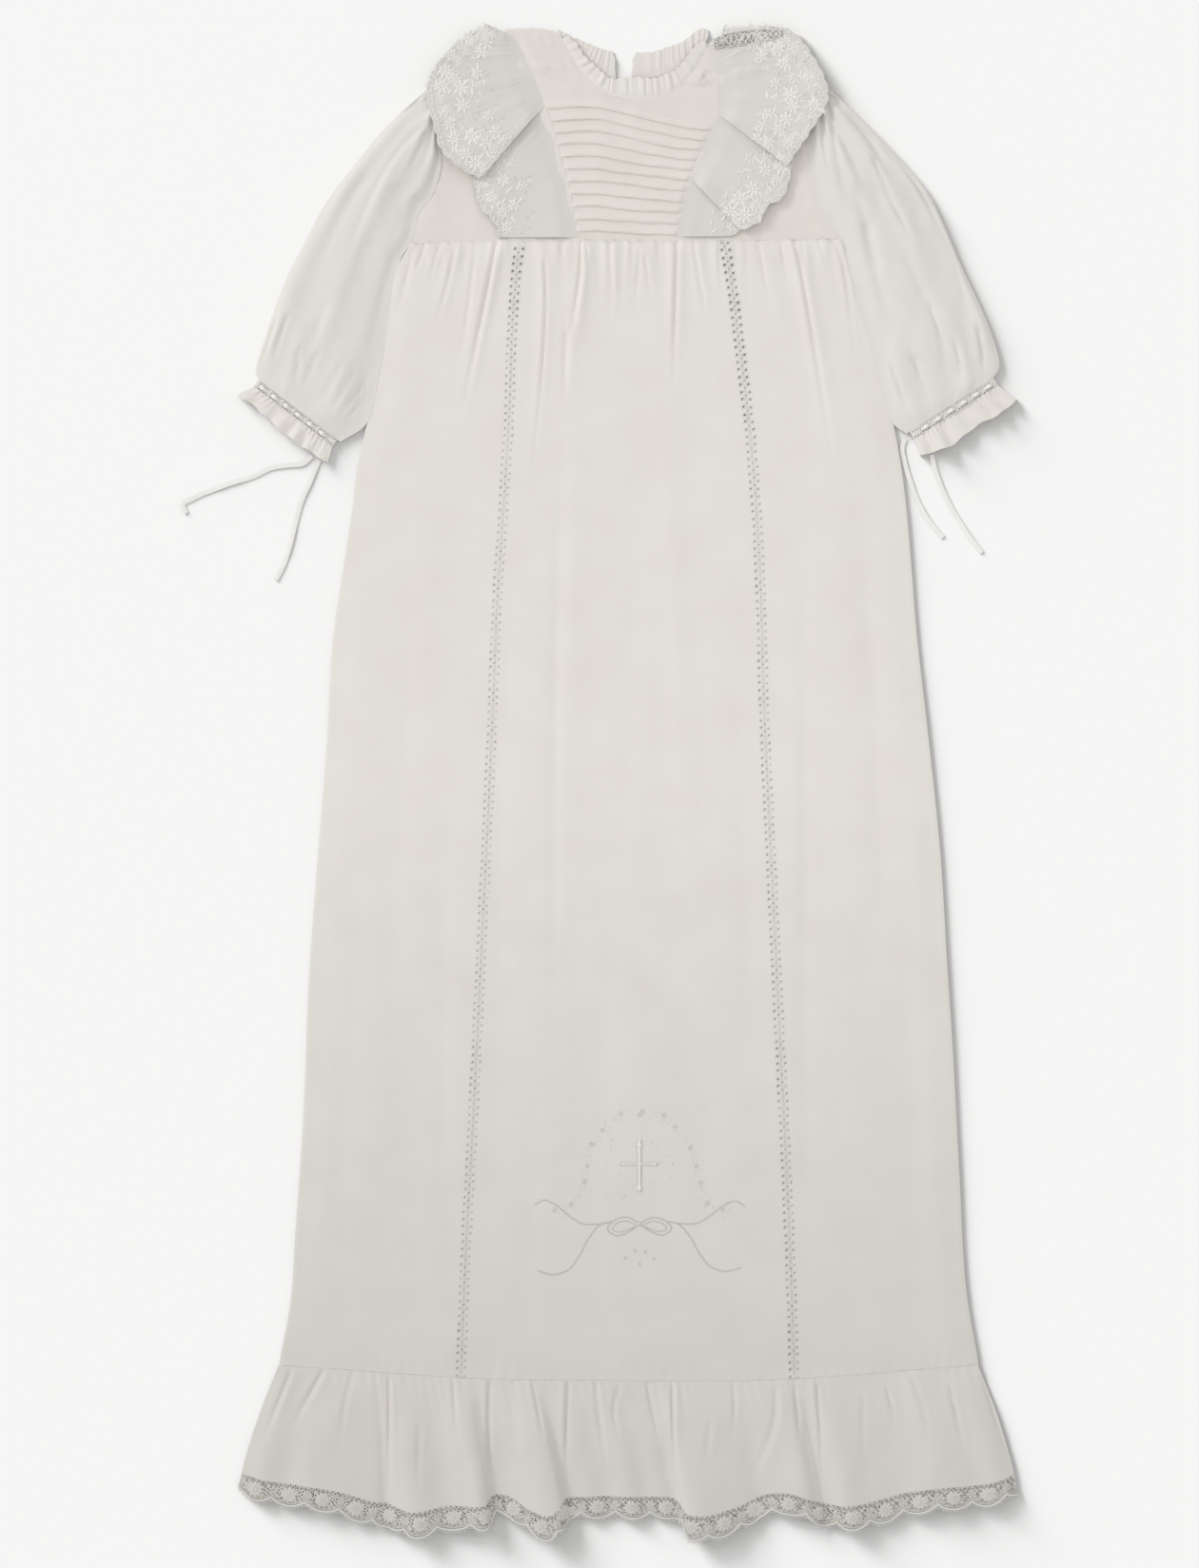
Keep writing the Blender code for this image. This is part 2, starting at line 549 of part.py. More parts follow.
def yoke_back(side):
    """Half of the back yoke, from the side and shoulder to the slit at the centre back."""
    sign = -1 if side == "right" else 1
    y_side = np.linspace(ARMHOLE_FOOT_Y, ARMHOLE_TOP_Y, 12)
    armhole = stacked(side_x(side, y_side) - sign * 0.5, y_side)
    shoulder = stacked(SHOULDER[side]["x"] - sign * 0.4, SHOULDER[side]["y"] - 0.6)
    neck = stacked(BACK_NECK["x"], BACK_NECK["y"])
    slit_x = BACK_SLIT_CENTRE + sign * BACK_SLIT_NECK_HALF
    neck = neck[neck[:, 0] < slit_x] if side == "right" else neck[::-1][neck[::-1][:, 0] > slit_x]
    slit = np.array([(slit_x, 450.0)])
    foot = yoke_foot(BACK_SLIT_CENTRE + sign * 0.5, armhole[0, 0])
    outline = np.concatenate([armhole, shoulder, neck, slit, foot])
    return add_plate(f"yoke_back_{side}", outline, OFF_WHITE)


def skirt_back():
    """The back skirt, a flat panel just inside the outline of the front."""
    y = np.linspace(339.0, BACK_HEM_SEAM_Y + SEAM_GAP / 2, 22)
    right = stacked(side_x("right", y) + 0.6, y)
    left = stacked(side_x("left", y) - 0.6, y)
    seam_x = np.linspace(left[0, 0] - 1, right[0, 0] + 1, 9)
    seam = stacked(seam_x, yoke_seam_y(seam_x) - SEAM_GAP / 2)
    return add_plate("skirt_back", np.concatenate([right, left[::-1], seam]), OFF_WHITE)


def back_band(name, top, foot, colour):
    """A flat band across the back hem, just inside the outline of the front."""
    columns = HEM_FOLDS["seam_x"], HEM_FOLDS["hem_x"], HEM_FOLDS["hem_y"]
    ends = [[column[end] for column in columns] for end in (0, -1)]
    corners = []
    for y in (top, foot):
        for seam_x, hem_x, hem_y in ends if y == top else ends[::-1]:
            share = (y - hem_seam_y(seam_x)) / (hem_y - hem_seam_y(seam_x))
            corners.append((mix(seam_x, hem_x, np.clip(share, 0, 1)) * BACK_HEM_SHARE, y))
    return add_plate(name, corners, colour)


def hem_surface(steps, v):
    """The front hem ruffle and its lace: points down each fold line from the seam to the hem."""
    folds = refined(HEM_FOLDS, steps)
    hem = stacked(folds["hem_x"], folds["hem_y"], folds["rise"])
    run = np.concatenate([[0], np.cumsum(np.linalg.norm(np.diff(hem, axis=0), axis=1))])
    scallop = SCALLOP_DEPTH * (np.abs(np.sin(np.pi * run / SCALLOP_PITCH)) - 1)
    seam_z = FRONT_FOOT + WALL / 2 + 0.1
    seam = stacked(folds["seam_x"], hem_seam_y(folds["seam_x"]) - SEAM_GAP / 2, seam_z)
    v = np.array(v)[:, None]
    points = mix(seam, hem, v[..., None])
    points[..., 0] = mix(seam[:, 0], hem[:, 0], 1 - (1 - v) ** HEM_FLARE)
    points[..., 2] = mix(seam_z, hem[:, 2], 1 - (1 - v) ** HEM_RISE)
    points[..., 1] -= scallop * ease((v - 0.9) / 0.1)
    return points


def add_fold_wall(name, grid, colour):
    """A wall about a grid of folds that run down -Y, with its thickness across each row."""
    across = np.gradient(grid, axis=1)
    normal = stacked(-across[..., 2], 0 * across[..., 1], across[..., 0])
    normal *= WALL / 2 / np.linalg.norm(normal, axis=-1, keepdims=True)
    return add_wall(name, grid + normal, grid - normal, colour)


def hem_front():
    """The front hem ruffle, and the lace that continues it."""
    split = 1 - HEM_LACE_SHARE
    add_fold_wall("hem_ruffle_front", hem_surface(3, (0, 0.2, 0.45, split - 0.003)), OFF_WHITE)
    add_fold_wall("hem_lace_front", hem_surface(3, (split + 0.003, 1)), LACE_WHITE)


def add_flat_tube(name, outer_edge, inner_edge, face, hollow, across, colour):
    """A flattened tube with open ends, through rings that run from the outer edge to the inner one.

    face and hollow are the heights of its upper outside and upper inside for each ring, at the shares
    of the way across that are given. Its underside is flat.
    """
    span = inner_edge - outer_edge
    side = (WALL + 0.3) / np.linalg.norm(span, axis=1)[:, None]
    under = np.linspace(1, 0, 5)[None, :]

    def ring(shares, heights):
        plan = outer_edge[:, None] + span[:, None] * shares[..., None]
        return np.concatenate([plan, np.broadcast_to(heights, shares.shape)[..., None]], -1)

    rows = np.zeros((len(span), 1))
    outside = np.concatenate([ring(rows + across, face), ring(rows + under, 0.0)], 1)
    inset = side + (1 - 2 * side) * across
    inset_under = side + (1 - 2 * side) * under
    inside = np.concatenate([ring(inset, hollow), ring(inset_under, WALL)], 1)
    return add_wall(name, outside, inside, colour, ring=True)


def sleeve(side):
    """A full sleeve from the armhole to the cuff, with folds raised on its outside."""
    rows = SLEEVE[side]
    across = (1 - np.cos(np.linspace(0, np.pi, 16)))[None, :] / 2
    along = np.linspace(0, 1, len(rows["puff"]))[:, None]
    arch = (4 * across * (1 - across)) ** 0.5 * rows["puff"][:, None]
    relief = np.zeros(arch.shape)
    for head, cuff, start, stop, height, width in zip(*SLEEVE_FOLDS[side].values()):
        share = (along - start) / (stop - start)
        fade = ease((share + 0.1) / 0.3) * (1 - ease((share - 0.75) / 0.3))
        relief += height * fade * np.exp(-(((across - mix(head, cuff, along)) / width) ** 2))
    relief *= ease(across / 0.03) * ease((1 - across) / 0.03)
    face = SLEEVE_SIDE_TOP + arch + relief
    hollow = BACK_TOP + LAYER_GAP + arch
    outer_edge = stacked(rows["outer_x"], rows["outer_y"])
    inner_edge = stacked(rows["inner_x"], rows["inner_y"])
    return add_flat_tube(f"sleeve_{side}", outer_edge, inner_edge, face, hollow, across, OFF_WHITE)


def cuff_point(side, along, away):
    """A place in the plan from distances along the cuff and away from the sleeve."""
    frame = CUFF[side]
    steps = stacked(along, away)
    return np.array(frame["end"]) + steps[..., :1] * frame["along"] + steps[..., 1:] * frame["away"]


def cuff_band(side):
    """The band of beading lace, a short flattened tube."""
    half = CUFF_BAND_WIDTH / 2
    away = np.array([-half, -half + 0.8, half - 0.8, half])
    across = np.linspace(0, 1, 13)[None, :]
    arch = (4 * across * (1 - across)) ** 0.4 * 1.6
    lift = np.array([0, 0.5, 0.5, 0])[:, None]
    outer_edge = cuff_point(side, np.zeros(4), away)
    inner_edge = cuff_point(side, np.full(4, CUFF_LENGTH), away)
    face = SLEEVE_SIDE_TOP + arch + lift
    hollow = BACK_TOP + LAYER_GAP + arch * 0.8
    return add_flat_tube(f"cuff_band_{side}", outer_edge, inner_edge, face, hollow, across, LACE_WHITE)


def cuff_frill(side):
    """The gathered frill below the band, a flattened tube that flares to a waved edge."""
    edge = CUFF_FRILL[side]
    share = np.array([0, 0.45, 1])
    start = CUFF_BAND_WIDTH / 2 + SEAM_GAP
    ends = [(edge["along"][0], edge["away"][0], 0.0), (edge["along"][-1], edge["away"][-1], CUFF_LENGTH)]
    outer_edge, inner_edge = (
        cuff_point(side, mix(seam, along, share), mix(start, away, share)) for along, away, seam in ends
    )
    count = CUFF_WAVES * 4 + 1
    across = np.linspace(0, 1, count)[None, :]
    wave = 0.5 - 0.5 * np.cos(2 * np.pi * CUFF_WAVES * across + 1.1 * np.sin(5 * across))
    arch = (4 * across * (1 - across)) ** 0.4
    face = SLEEVE_SIDE_TOP + arch * (1.0 + mix(0.7, 2.2, share[:, None]) * wave)
    hollow = BACK_TOP + LAYER_GAP + arch * 0.8
    tube = add_flat_tube(
        f"cuff_frill_{side}", outer_edge, inner_edge, face, hollow + 0 * face, across, OFF_WHITE
    )
    bow_frill(tube, side, edge)
    return tube


def bow_frill(tube, side, edge):
    """Moves the frill's free edge out to its true line, which bows away from the cuff."""
    frame = CUFF[side]
    end, along, away = (np.array(frame[key]) for key in ("end", "along", "away"))
    start = CUFF_BAND_WIDTH / 2 + SEAM_GAP
    slope = (edge["away"][-1] - edge["away"][0]) / (edge["along"][-1] - edge["along"][0])
    for vertex in tube.data.vertices:
        place = np.array(vertex.co[:2]) / MM - end
        run, depth = place @ along, place @ away
        straight = edge["away"][0] + slope * (run - edge["along"][0])
        bow = through(run, edge["along"], edge["away"]) - straight
        moved = bow * max(0.0, (depth - start) / (straight - start))
        vertex.co.x += moved * away[0] * MM
        vertex.co.y += moved * away[1] * MM


def neck_frill(name):
    """A pleated frill from the neck seam to its free edge, with pleats raised on its outside."""
    waves = NECK_FRILL_WAVES[name]
    rows = NECK_FRILL[name]
    keys = np.linspace(0, 1, len(rows["seam_x"]))
    at = np.linspace(0, 1, waves * 2 + 1)
    seam = stacked(*(through(at, keys, rows[key]) for key in ("seam_x", "seam_y")))
    edge = stacked(*(through(at, keys, rows[key]) for key in ("edge_x", "edge_y")))
    front = name == "front"
    foot = BACK_TOP + WALL if front else 0.0
    pleat = (np.arange(len(at)) % 2) * (1.2 if front else 0.8)
    share = np.array([0, 0.4, 1])[:, None]
    plan = mix(seam, edge, share[..., None])
    face = stacked(plan[..., 0], plan[..., 1], foot + WALL * 0.9 + pleat * mix(0.5, 1, share))
    body = stacked(plan[..., 0], plan[..., 1], foot)
    return add_wall(f"neck_frill_{name}", face, body, OFF_WHITE)


def turned_rows(crest, before, laps):
    """The rows of a fold: from its crest back under the lobe above, and forward again below that."""
    ends = crest.reshape(2, 3)
    run = (ends[1] - ends[0])[:2]
    back = np.array([run[1], -run[0], 0]) / np.linalg.norm(run)
    if (before.reshape(2, 3) - ends)[:, :2].sum(axis=0) @ back[:2] < 0:
        back = -back
    half = FLOUNCE_LAYER / 2
    laps = np.array(laps)
    down = np.array([0, 0, half])
    rows = []
    for reach, layer in ((half, 0), (0, 1), (half, 2), (laps - half, 2), (laps, 3), (laps - half, 4)):
        place = ends + np.multiply.outer(np.broadcast_to(reach, 2), back) - layer * down
        rows.append(place.ravel())
    return rows


def flounce(side):
    """A shoulder flounce, sewn in at the yoke and folded over itself."""
    order = "seam_x seam_y seam_z edge_x edge_y edge_z".split()
    rows = []
    for number, lobe in enumerate(FLOUNCE[side]):
        fine = refined(lobe, 2)
        lines = list(stacked(*(fine[name] for name in order)))
        if number < len(FLOUNCE_LAPS[side]):
            crest = lines.pop()
            lines += turned_rows(crest, lines[-1], FLOUNCE_LAPS[side][number])
        rows += lines
    rows = np.array(rows)
    across = np.array([0, 0.12, 0.3, 0.5, 0.7, 0.88, 1])[None, :, None]
    return add_sheet(f"flounce_{side}", mix(rows[:, None, :3], rows[:, None, 3:], across), OFF_WHITE)


def build():
    for old in list(bpy.data.objects):
        bpy.data.objects.remove(old)
    gown = bpy.data.collections.new("christening_gown")
    bpy.context.scene.collection.children.link(gown)

    skirt_back()
    back_band("hem_ruffle_back", BACK_HEM_SEAM_Y - SEAM_GAP / 2, BACK_LACE_TOP_Y + SEAM_GAP / 2, OFF_WHITE)
    back_band("hem_lace_back", BACK_LACE_TOP_Y - SEAM_GAP / 2, BACK_LACE_FOOT_Y, LACE_WHITE)
    skirt_panel("skirt_side_right", 0, 14, 15, OFF_WHITE)
    skirt_panel("insertion_right", 1, 3, 15, LACE_WHITE)
    skirt_panel("skirt_centre", 2, 25, 15, OFF_WHITE)
    skirt_panel("insertion_left", 3, 3, 15, LACE_WHITE)
    skirt_panel("skirt_side_left", 4, 14, 15, OFF_WHITE)
    yoke_centre()
    hem_front()
    for name in NECK_FRILL:
        neck_frill(name)
    for side in ("right", "left"):
        yoke_side(side)
        yoke_back(side)
        sleeve(side)
        cuff_band(side)
        cuff_frill(side)
        flounce(side)
    for name, route in RIBBON_ROUTES.items():
        add_cord(name, route, RIBBON_WHITE)


build()
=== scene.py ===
"""Christening gown laid flat: cloth, lace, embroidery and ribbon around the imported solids.

Every piece of the gown is a thin closed sheet or a set of raised stitches, worked out with numpy from the
sizes and tables below. Plans and heights are in millimetres, +Y towards the neck, +X towards the wearer's
left and +Z up from the surface that the gown lies on; the meshes are made in metres.
"""

from __future__ import annotations

import logging
from collections.abc import Callable, Sequence
from dataclasses import dataclass, field
from enum import Enum

import bpy
import numpy as np
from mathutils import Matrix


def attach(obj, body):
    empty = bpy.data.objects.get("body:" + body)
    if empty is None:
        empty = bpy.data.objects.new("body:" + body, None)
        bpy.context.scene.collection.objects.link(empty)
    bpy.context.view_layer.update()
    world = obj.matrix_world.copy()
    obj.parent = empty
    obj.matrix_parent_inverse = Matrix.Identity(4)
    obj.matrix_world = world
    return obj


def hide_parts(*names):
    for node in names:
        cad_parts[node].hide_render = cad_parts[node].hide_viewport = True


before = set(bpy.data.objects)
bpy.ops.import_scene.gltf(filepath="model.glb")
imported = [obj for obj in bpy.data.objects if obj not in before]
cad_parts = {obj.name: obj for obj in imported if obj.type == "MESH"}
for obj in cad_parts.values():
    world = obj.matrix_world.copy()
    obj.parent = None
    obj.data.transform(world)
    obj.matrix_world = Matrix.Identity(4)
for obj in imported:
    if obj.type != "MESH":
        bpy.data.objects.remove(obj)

Array = np.ndarray
Numbers = np.ndarray | float | Sequence
Table = dict[str, Array]
Surface = Callable[[Array, Array], Array]
Socket = bpy.types.NodeSocket

LOG = logging.getLogger("christening_gown")
MM = 0.001

# Sizes that several pieces share, in millimetres: the gap at a seam, the heights of the front's underside and
# of its outer side above that, the thickness of the cloth, and the seam of the back hem
SEAM_GAP = 0.4
FRONT_FOOT = 1.3
FACE_RISE = 0.75
CLOTH = 0.45
BACK_HEM_SEAM_Y = -369.0

# Painted shade: the cloth's brightness at the hem as a share of the yoke's, a light falloff from the neck to
# the hem painted into the colour of every finish, and the stretch of Y in metres where it changes
PAINTED_HEM_SHADE = 0.805
PAINTED_SHADE_FADE = (-0.42, 0.0)

# The sine of 60 degrees, for the net, and the angle between two faces above which their edge stays sharp
SIN_60 = 0.8660254
SHARP_ANGLE = float(np.radians(50))


def table(columns: str, *rows: Sequence[float]) -> Table:
    """Rows of numbers as a dictionary of named columns.

    Args:
        columns: The names of the columns, with a space between them.
        rows: One sequence of numbers for each row.

    Returns:
        Each column as an array under its name.
    """
    return dict(zip(columns.split(), np.array(rows, float).T))


# Edge of the body from the shoulder tip down the armhole and the side seam, for each side of the wearer
SIDE = {
    "right": table(
        "y x",
        (439, -122.4), (424, -119.0), (404, -118.8), (389, -118.8), (371, -124.8), (360, -133.0),
        (342, -137.5), (329, -144.6), (311, -149.4), (284, -153.6), (259, -157.8), (229, -164.4),
        (206, -169.8), (170, -174.6), (134, -180.0), (98, -185.4), (26, -190.0), (-46, -195.6),
        (-118, -201.0), (-208, -204.6), (-280, -209.4), (-334, -213.5), (-368, -220.0),
    ),
    "left": table(
        "y x",
        (439, 121.8), (424, 117.6), (410, 113.8), (395, 115.2), (380, 118.2), (364, 122.0),
        (352, 128.4), (340, 135.0), (321, 140.4), (301, 145.8), (283, 151.8), (253, 159.6),
        (230, 166.2), (206, 171.0), (170, 175.8), (134, 178.8), (98, 181.6), (26, 189.6),
        (-46, 197.0), (-118, 201.4), (-172, 205.0), (-244, 208.8), (-334, 215.0), (-367, 221.0),
    ),
}

# Centre line of the insertion lace down each side of the front skirt
INSERTION = {
    "right": table(
        "y x",
        (342, -68.4), (294, -72.6), (232, -75.0), (170, -78.8), (108, -82.8), (38, -85.6),
        (-80, -91.2), (-203, -97.2), (-311, -103.0), (-376, -105.4),
    ),
    "left": table(
        "y x",
        (342, 60.0), (319, 64.6), (281, 69.4), (244, 74.2), (194, 79.2), (145, 82.4),
        (38, 86.0), (-59, 90.6), (-157, 95.4), (-280, 101.4), (-376, 104.8),
    ),
}

YOKE_SEAM = table("x y", (-138, 340.0), (-100, 341.6), (0, 341.6), (70, 342.4), (136, 343.4))
HEM_SEAM = table(
    "x y",
    (-221, -367.4), (-160, -371.6), (-102, -375.4), (0, -377.0), (105, -376.0), (165, -371.6), (222, -366.8),
)

# Seam between the tucked centre of the yoke and its sides, where the flounce is sewn in
FLOUNCE_SEAM = {
    "right": table("y x", (474, -75.0), (440, -60.0), (428, -53.4), (392, -42.0), (374, -37.2), (343, -32.0)),
    "left": table(
        "y x", (470, 55.5), (444, 57.2), (427, 57.0), (413, 53.0), (397, 46.0), (374, 36.6), (343, 31.0)
    ),
}

# Shoulder line and front neck edge, from the wearer's right seam to the left one
YOKE_TOP = table(
    "x y",
    (-75, 473.6), (-52, 473.4), (-43.5, 470.6), (-35, 456.0), (-28, 445.6), (-18.6, 437.4), (-9, 432.8),
    (6, 430.6), (18, 431.0), (28, 434.8), (37.4, 442.4), (45.6, 454.2), (51.4, 465.2), (55.5, 467.6),
)
BACK_NECK = table(
    "x y",
    (-43.5, 470.6), (-35.4, 462.6), (-27, 455.6), (-18, 451.2), (-8.4, 450.0), (-2.6, 450.0), (3, 450.0),
    (14.4, 450.6), (25.8, 452.6), (36, 458.4), (45.6, 465.4),
)
SHOULDER = {
    "right": table("x y", (-121.8, 441.5), (-113, 455.5), (-96, 468.5), (-75.8, 473.6)),
    "left": table("x y", (121.4, 441.5), (115.6, 457), (105, 471.5), (56.3, 468.2)),
}

# Pin tucks of the yoke: the height of each fold's lower edge at its right end, and its fall to the left end
TUCKS = table(
    "y fall",
    (346.0, 0.8), (353.6, 1.6), (361.6, 2.8), (369.6, 4.0), (377.6, 5.4), (385.6, 6.8),
    (393.4, 8.2), (401.2, 9.6), (409.0, 11.0), (416.8, 12.2), (424.6, 13.2),
)

# Section of one tuck: the distance above its lower edge and the height there
TUCK_PROFILE = (
    (-0.55, 0.0), (-0.1, 0.05), (0.1, 0.8), (0.45, 1.15), (1.2, 1.25), (2.4, 0.9), (3.6, 0.55), (4.6, 0.2),
)

# Gathers and long soft folds of the front skirt, each a ridge from its top to its foot
SKIRT_FOLDS = table(
    "top_x top_y foot_x foot_y bow height width",
    (-121, 334, -126, 312, 0, 1.3, 3.4), (-109, 334, -122, 286, -1, 1.7, 4.2),
    (-96, 330, -105, 266, 1, 1.0, 4.2), (-82, 342, -107, 210, -3, 2.4, 5.2),
    (-52, 334, -62, 168, 2, 1.4, 4.2), (-42, 342, -40, 316, 0, 1.5, 4.6),
    (-28, 342, -39, 236, 2, 2.5, 5.0), (-11, 340, -9, 290, 0, 1.3, 4.0),
    (11, 338, 16, 296, 1, 1.1, 4.0), (31, 342, 29, 236, 1, 2.1, 4.8),
    (42, 342, 52, 276, -1, 1.5, 4.2), (88, 340, 100, 260, 1, 1.1, 4.6),
    (105, 342, 134, 176, 3, 2.3, 5.2), (120, 342, 127, 318, 0, 1.1, 3.4),
    (133, 342, 144, 246, 2, 1.4, 3.8), (-34, 250, -34, -60, 1, 0.8, 9.0),
    (-132, 190, -140, -300, 3, 0.9, 14.0), (132, 210, 146, -290, -3, 0.9, 14.0),
    (26, 230, 44, -110, 2, 0.6, 12.0), (58, 120, 66, -250, -2, 0.5, 12.0),
)

# Sections of each sleeve from its head to its cuff: the outer edge, the inner edge and the fullness
SLEEVE = {
    "right": table(
        "outer_x outer_y inner_x inner_y puff",
        (-124.6, 438.6, -121.2, 423.0, 1.0), (-134.4, 430.2, -120, 403.8, 1.6),
        (-146.4, 419.4, -120, 389.4, 2.4), (-160.8, 403.8, -126, 371.4, 3.2),
        (-175.2, 385.8, -134.4, 360.6, 3.6), (-189.6, 366.6, -138.5, 343.0, 3.6),
        (-202.8, 342.6, -146, 329.4, 3.6), (-216.0, 316.2, -150, 311.4, 3.6),
        (-224.4, 293.4, -154.6, 283.8, 3.4), (-231.0, 273.0, -159, 259.2, 3.0),
        (-234.6, 260.4, -165.6, 229.2, 2.4), (-232.9, 254.2, -183.1, 216.4, 1.8),
    ),
    "left": table(
        "outer_x outer_y inner_x inner_y puff",
        (124.6, 438.0, 119.6, 424.2, 1.0), (134.4, 430.2, 114.8, 409.8, 1.6),
        (147.0, 418.2, 116.2, 394.8, 2.4), (161.4, 403.8, 119.4, 379.8, 3.2),
        (176.4, 387.6, 123.4, 364.2, 3.6), (189.6, 370.8, 129.8, 351.6, 3.6),
        (199.2, 351.0, 136.4, 340.2, 3.6), (208.8, 328.2, 141.6, 321.0, 3.6),
        (218.4, 307.8, 147.2, 300.6, 3.6), (226.8, 288.6, 153.0, 282.6, 3.4),
        (232.2, 273.0, 160.8, 252.6, 3.0), (234.0, 262.2, 167.4, 229.8, 2.4),
        (230.1, 255.0, 177.3, 221.4, 1.8),
    ),
}

# Folds of each sleeve: where each crosses the sleeve at its two ends, and the stretch of sleeve that it runs
SLEEVE_FOLDS = {
    "right": table(
        "head cuff start stop height width",
        (0.52, 0.50, 0.00, 0.86, 2.6, 0.10), (0.10, 0.10, 0.12, 0.92, 1.5, 0.08),
        (0.78, 0.86, 0.02, 0.40, 1.6, 0.07), (0.92, 0.74, 0.70, 1.00, 1.4, 0.07),
        (0.30, 0.28, 0.72, 1.00, 1.3, 0.07), (0.66, 0.66, 0.76, 1.00, 1.2, 0.06),
    ),
    "left": table(
        "head cuff start stop height width",
        (0.02, 0.05, 0.10, 0.92, 1.7, 0.06), (0.18, 0.46, 0.04, 0.62, 2.5, 0.09),
        (0.46, 0.78, 0.04, 0.44, 1.7, 0.08), (0.72, 0.92, 0.02, 0.40, 1.4, 0.07),
        (0.30, 0.30, 0.66, 1.00, 1.7, 0.07), (0.58, 0.56, 0.74, 1.00, 1.2, 0.07),
        (0.80, 0.78, 0.76, 1.00, 1.2, 0.06),
    ),
}

# Cuff frames: the outer end of the band, the direction along it and the one away from the sleeve
CUFF = {
    "right": {"end": (-234.6, 252.0), "along": (0.797, -0.604), "away": (-0.604, -0.797)},
    "left": {"end": (231.6, 252.6), "along": (-0.843, -0.538), "away": (0.538, -0.843)},
}

# Free edge of each cuff frill in its cuff's frame
CUFF_FRILL = {
    "right": table("along away", (-5.0, 12.4), (14, 13.2), (33, 13.8), (52, 14.8), (66.4, 12.2)),
    "left": table("along away", (-5.4, 15.4), (9, 18.0), (31, 17.2), (52, 17.6), (65.0, 14.2)),
}

# Hem ruffle: a row for each fold line, with its place on the seam, its place on the hem and its height there
HEM_FOLDS = table(
    "seam_x hem_x hem_y rise",
    (-220, -245.5, -447.5, 1.9), (-211, -232, -452.5, 4.6), (-200, -217, -455.0, 3.4),
    (-190, -203, -457.0, 5.6), (-176, -184, -460.5, 5.2), (-162, -160, -468.5, 3.4),
    (-157, -151.6, -469.0, 2.0), (-150, -143, -473.0, 5.6), (-142, -133, -475.4, 7.6),
    (-128, -114, -471.0, 4.4), (-118, -102, -470.4, 6.4), (-110, -93, -470.6, 9.0),
    (-104, -88.4, -469.2, 8.0), (-99.5, -86.0, -465.6, 5.0), (-95, -82.6, -462.2, 2.4),
    (-86, -74, -463.4, 3.0), (-75, -60, -473.0, 7.6), (-67, -49, -477.0, 9.4),
    (-61.5, -41.6, -471.6, 8.2), (-58, -39.2, -467.2, 5.2), (-54, -36.4, -464.2, 2.6),
    (-42, -24, -463.6, 3.4), (-30, -12, -463.0, 2.0), (-17, 2, -463.6, 4.0), (-6, 13, -463.6, 2.2),
    (3, 22.0, -463.6, 2.6), (10, 29.6, -464.4, 1.9), (15.5, 33.8, -468.6, 3.4), (20, 36.2, -472.8, 6.0),
    (24.5, 38.8, -476.0, 8.2), (31, 43.6, -476.6, 9.0), (42, 53, -476.4, 8.2), (58, 74, -469.0, 4.6),
    (70, 84, -463.0, 2.4), (82, 100, -460.6, 4.4), (96, 113, -464.4, 6.2),
    (103, 121.6, -467.8, 3.0), (108, 126.6, -468.8, 2.0), (119, 140, -470.4, 7.2),
    (137, 158, -467.0, 4.4), (156, 176, -461.6, 3.6), (176, 199, -457.8, 6.4),
    (196, 220, -456.4, 4.2), (210, 234, -453.6, 5.4), (220.5, 245.5, -448.6, 1.9),
)
HEM_ROWS = np.arange(len(HEM_FOLDS["hem_x"]), dtype=float)

# Neck frills: a row for each section, from the neck seam to the free edge
NECK_FRILL = {
    "front": table(
        "seam_x seam_y edge_x edge_y",
        (-40.6, 469.4, -35.6, 471.6), (-33.6, 456.6, -27.6, 458.4), (-27.0, 447.0, -20.6, 452.0),
        (-17.8, 438.6, -14.2, 446.0), (-8.6, 434.0, -8.4, 443.6), (6, 431.8, 5.0, 444.6),
        (17.6, 432.2, 16.6, 444.0), (27.2, 435.8, 24.6, 447.0), (36.4, 443.2, 31.4, 450.8),
        (44.4, 454.6, 38.0, 459.0), (49.8, 465.2, 45.4, 469.6),
    ),
    "back_right": table(
        "seam_x seam_y edge_x edge_y",
        (-42.6, 472.0, -45.6, 476.4), (-34.8, 463.6, -35.6, 470.8), (-26.6, 456.6, -22.6, 465.4),
        (-17.8, 452.2, -15.2, 462.4), (-8.3, 450.8, -8.3, 461.0),
    ),
    "back_left": table(
        "seam_x seam_y edge_x edge_y",
        (2.9, 450.8, 2.6, 460.6), (14.2, 451.4, 14.0, 460.8), (25.4, 453.4, 25.0, 464.0),
        (35.6, 459.4, 34.6, 467.6), (45.0, 466.4, 45.4, 475.4), (49.4, 468.4, 51.8, 474.4),
    ),
}
NECK_FRILL_WAVES = {"front": 22, "back_right": 9, "back_left": 11}

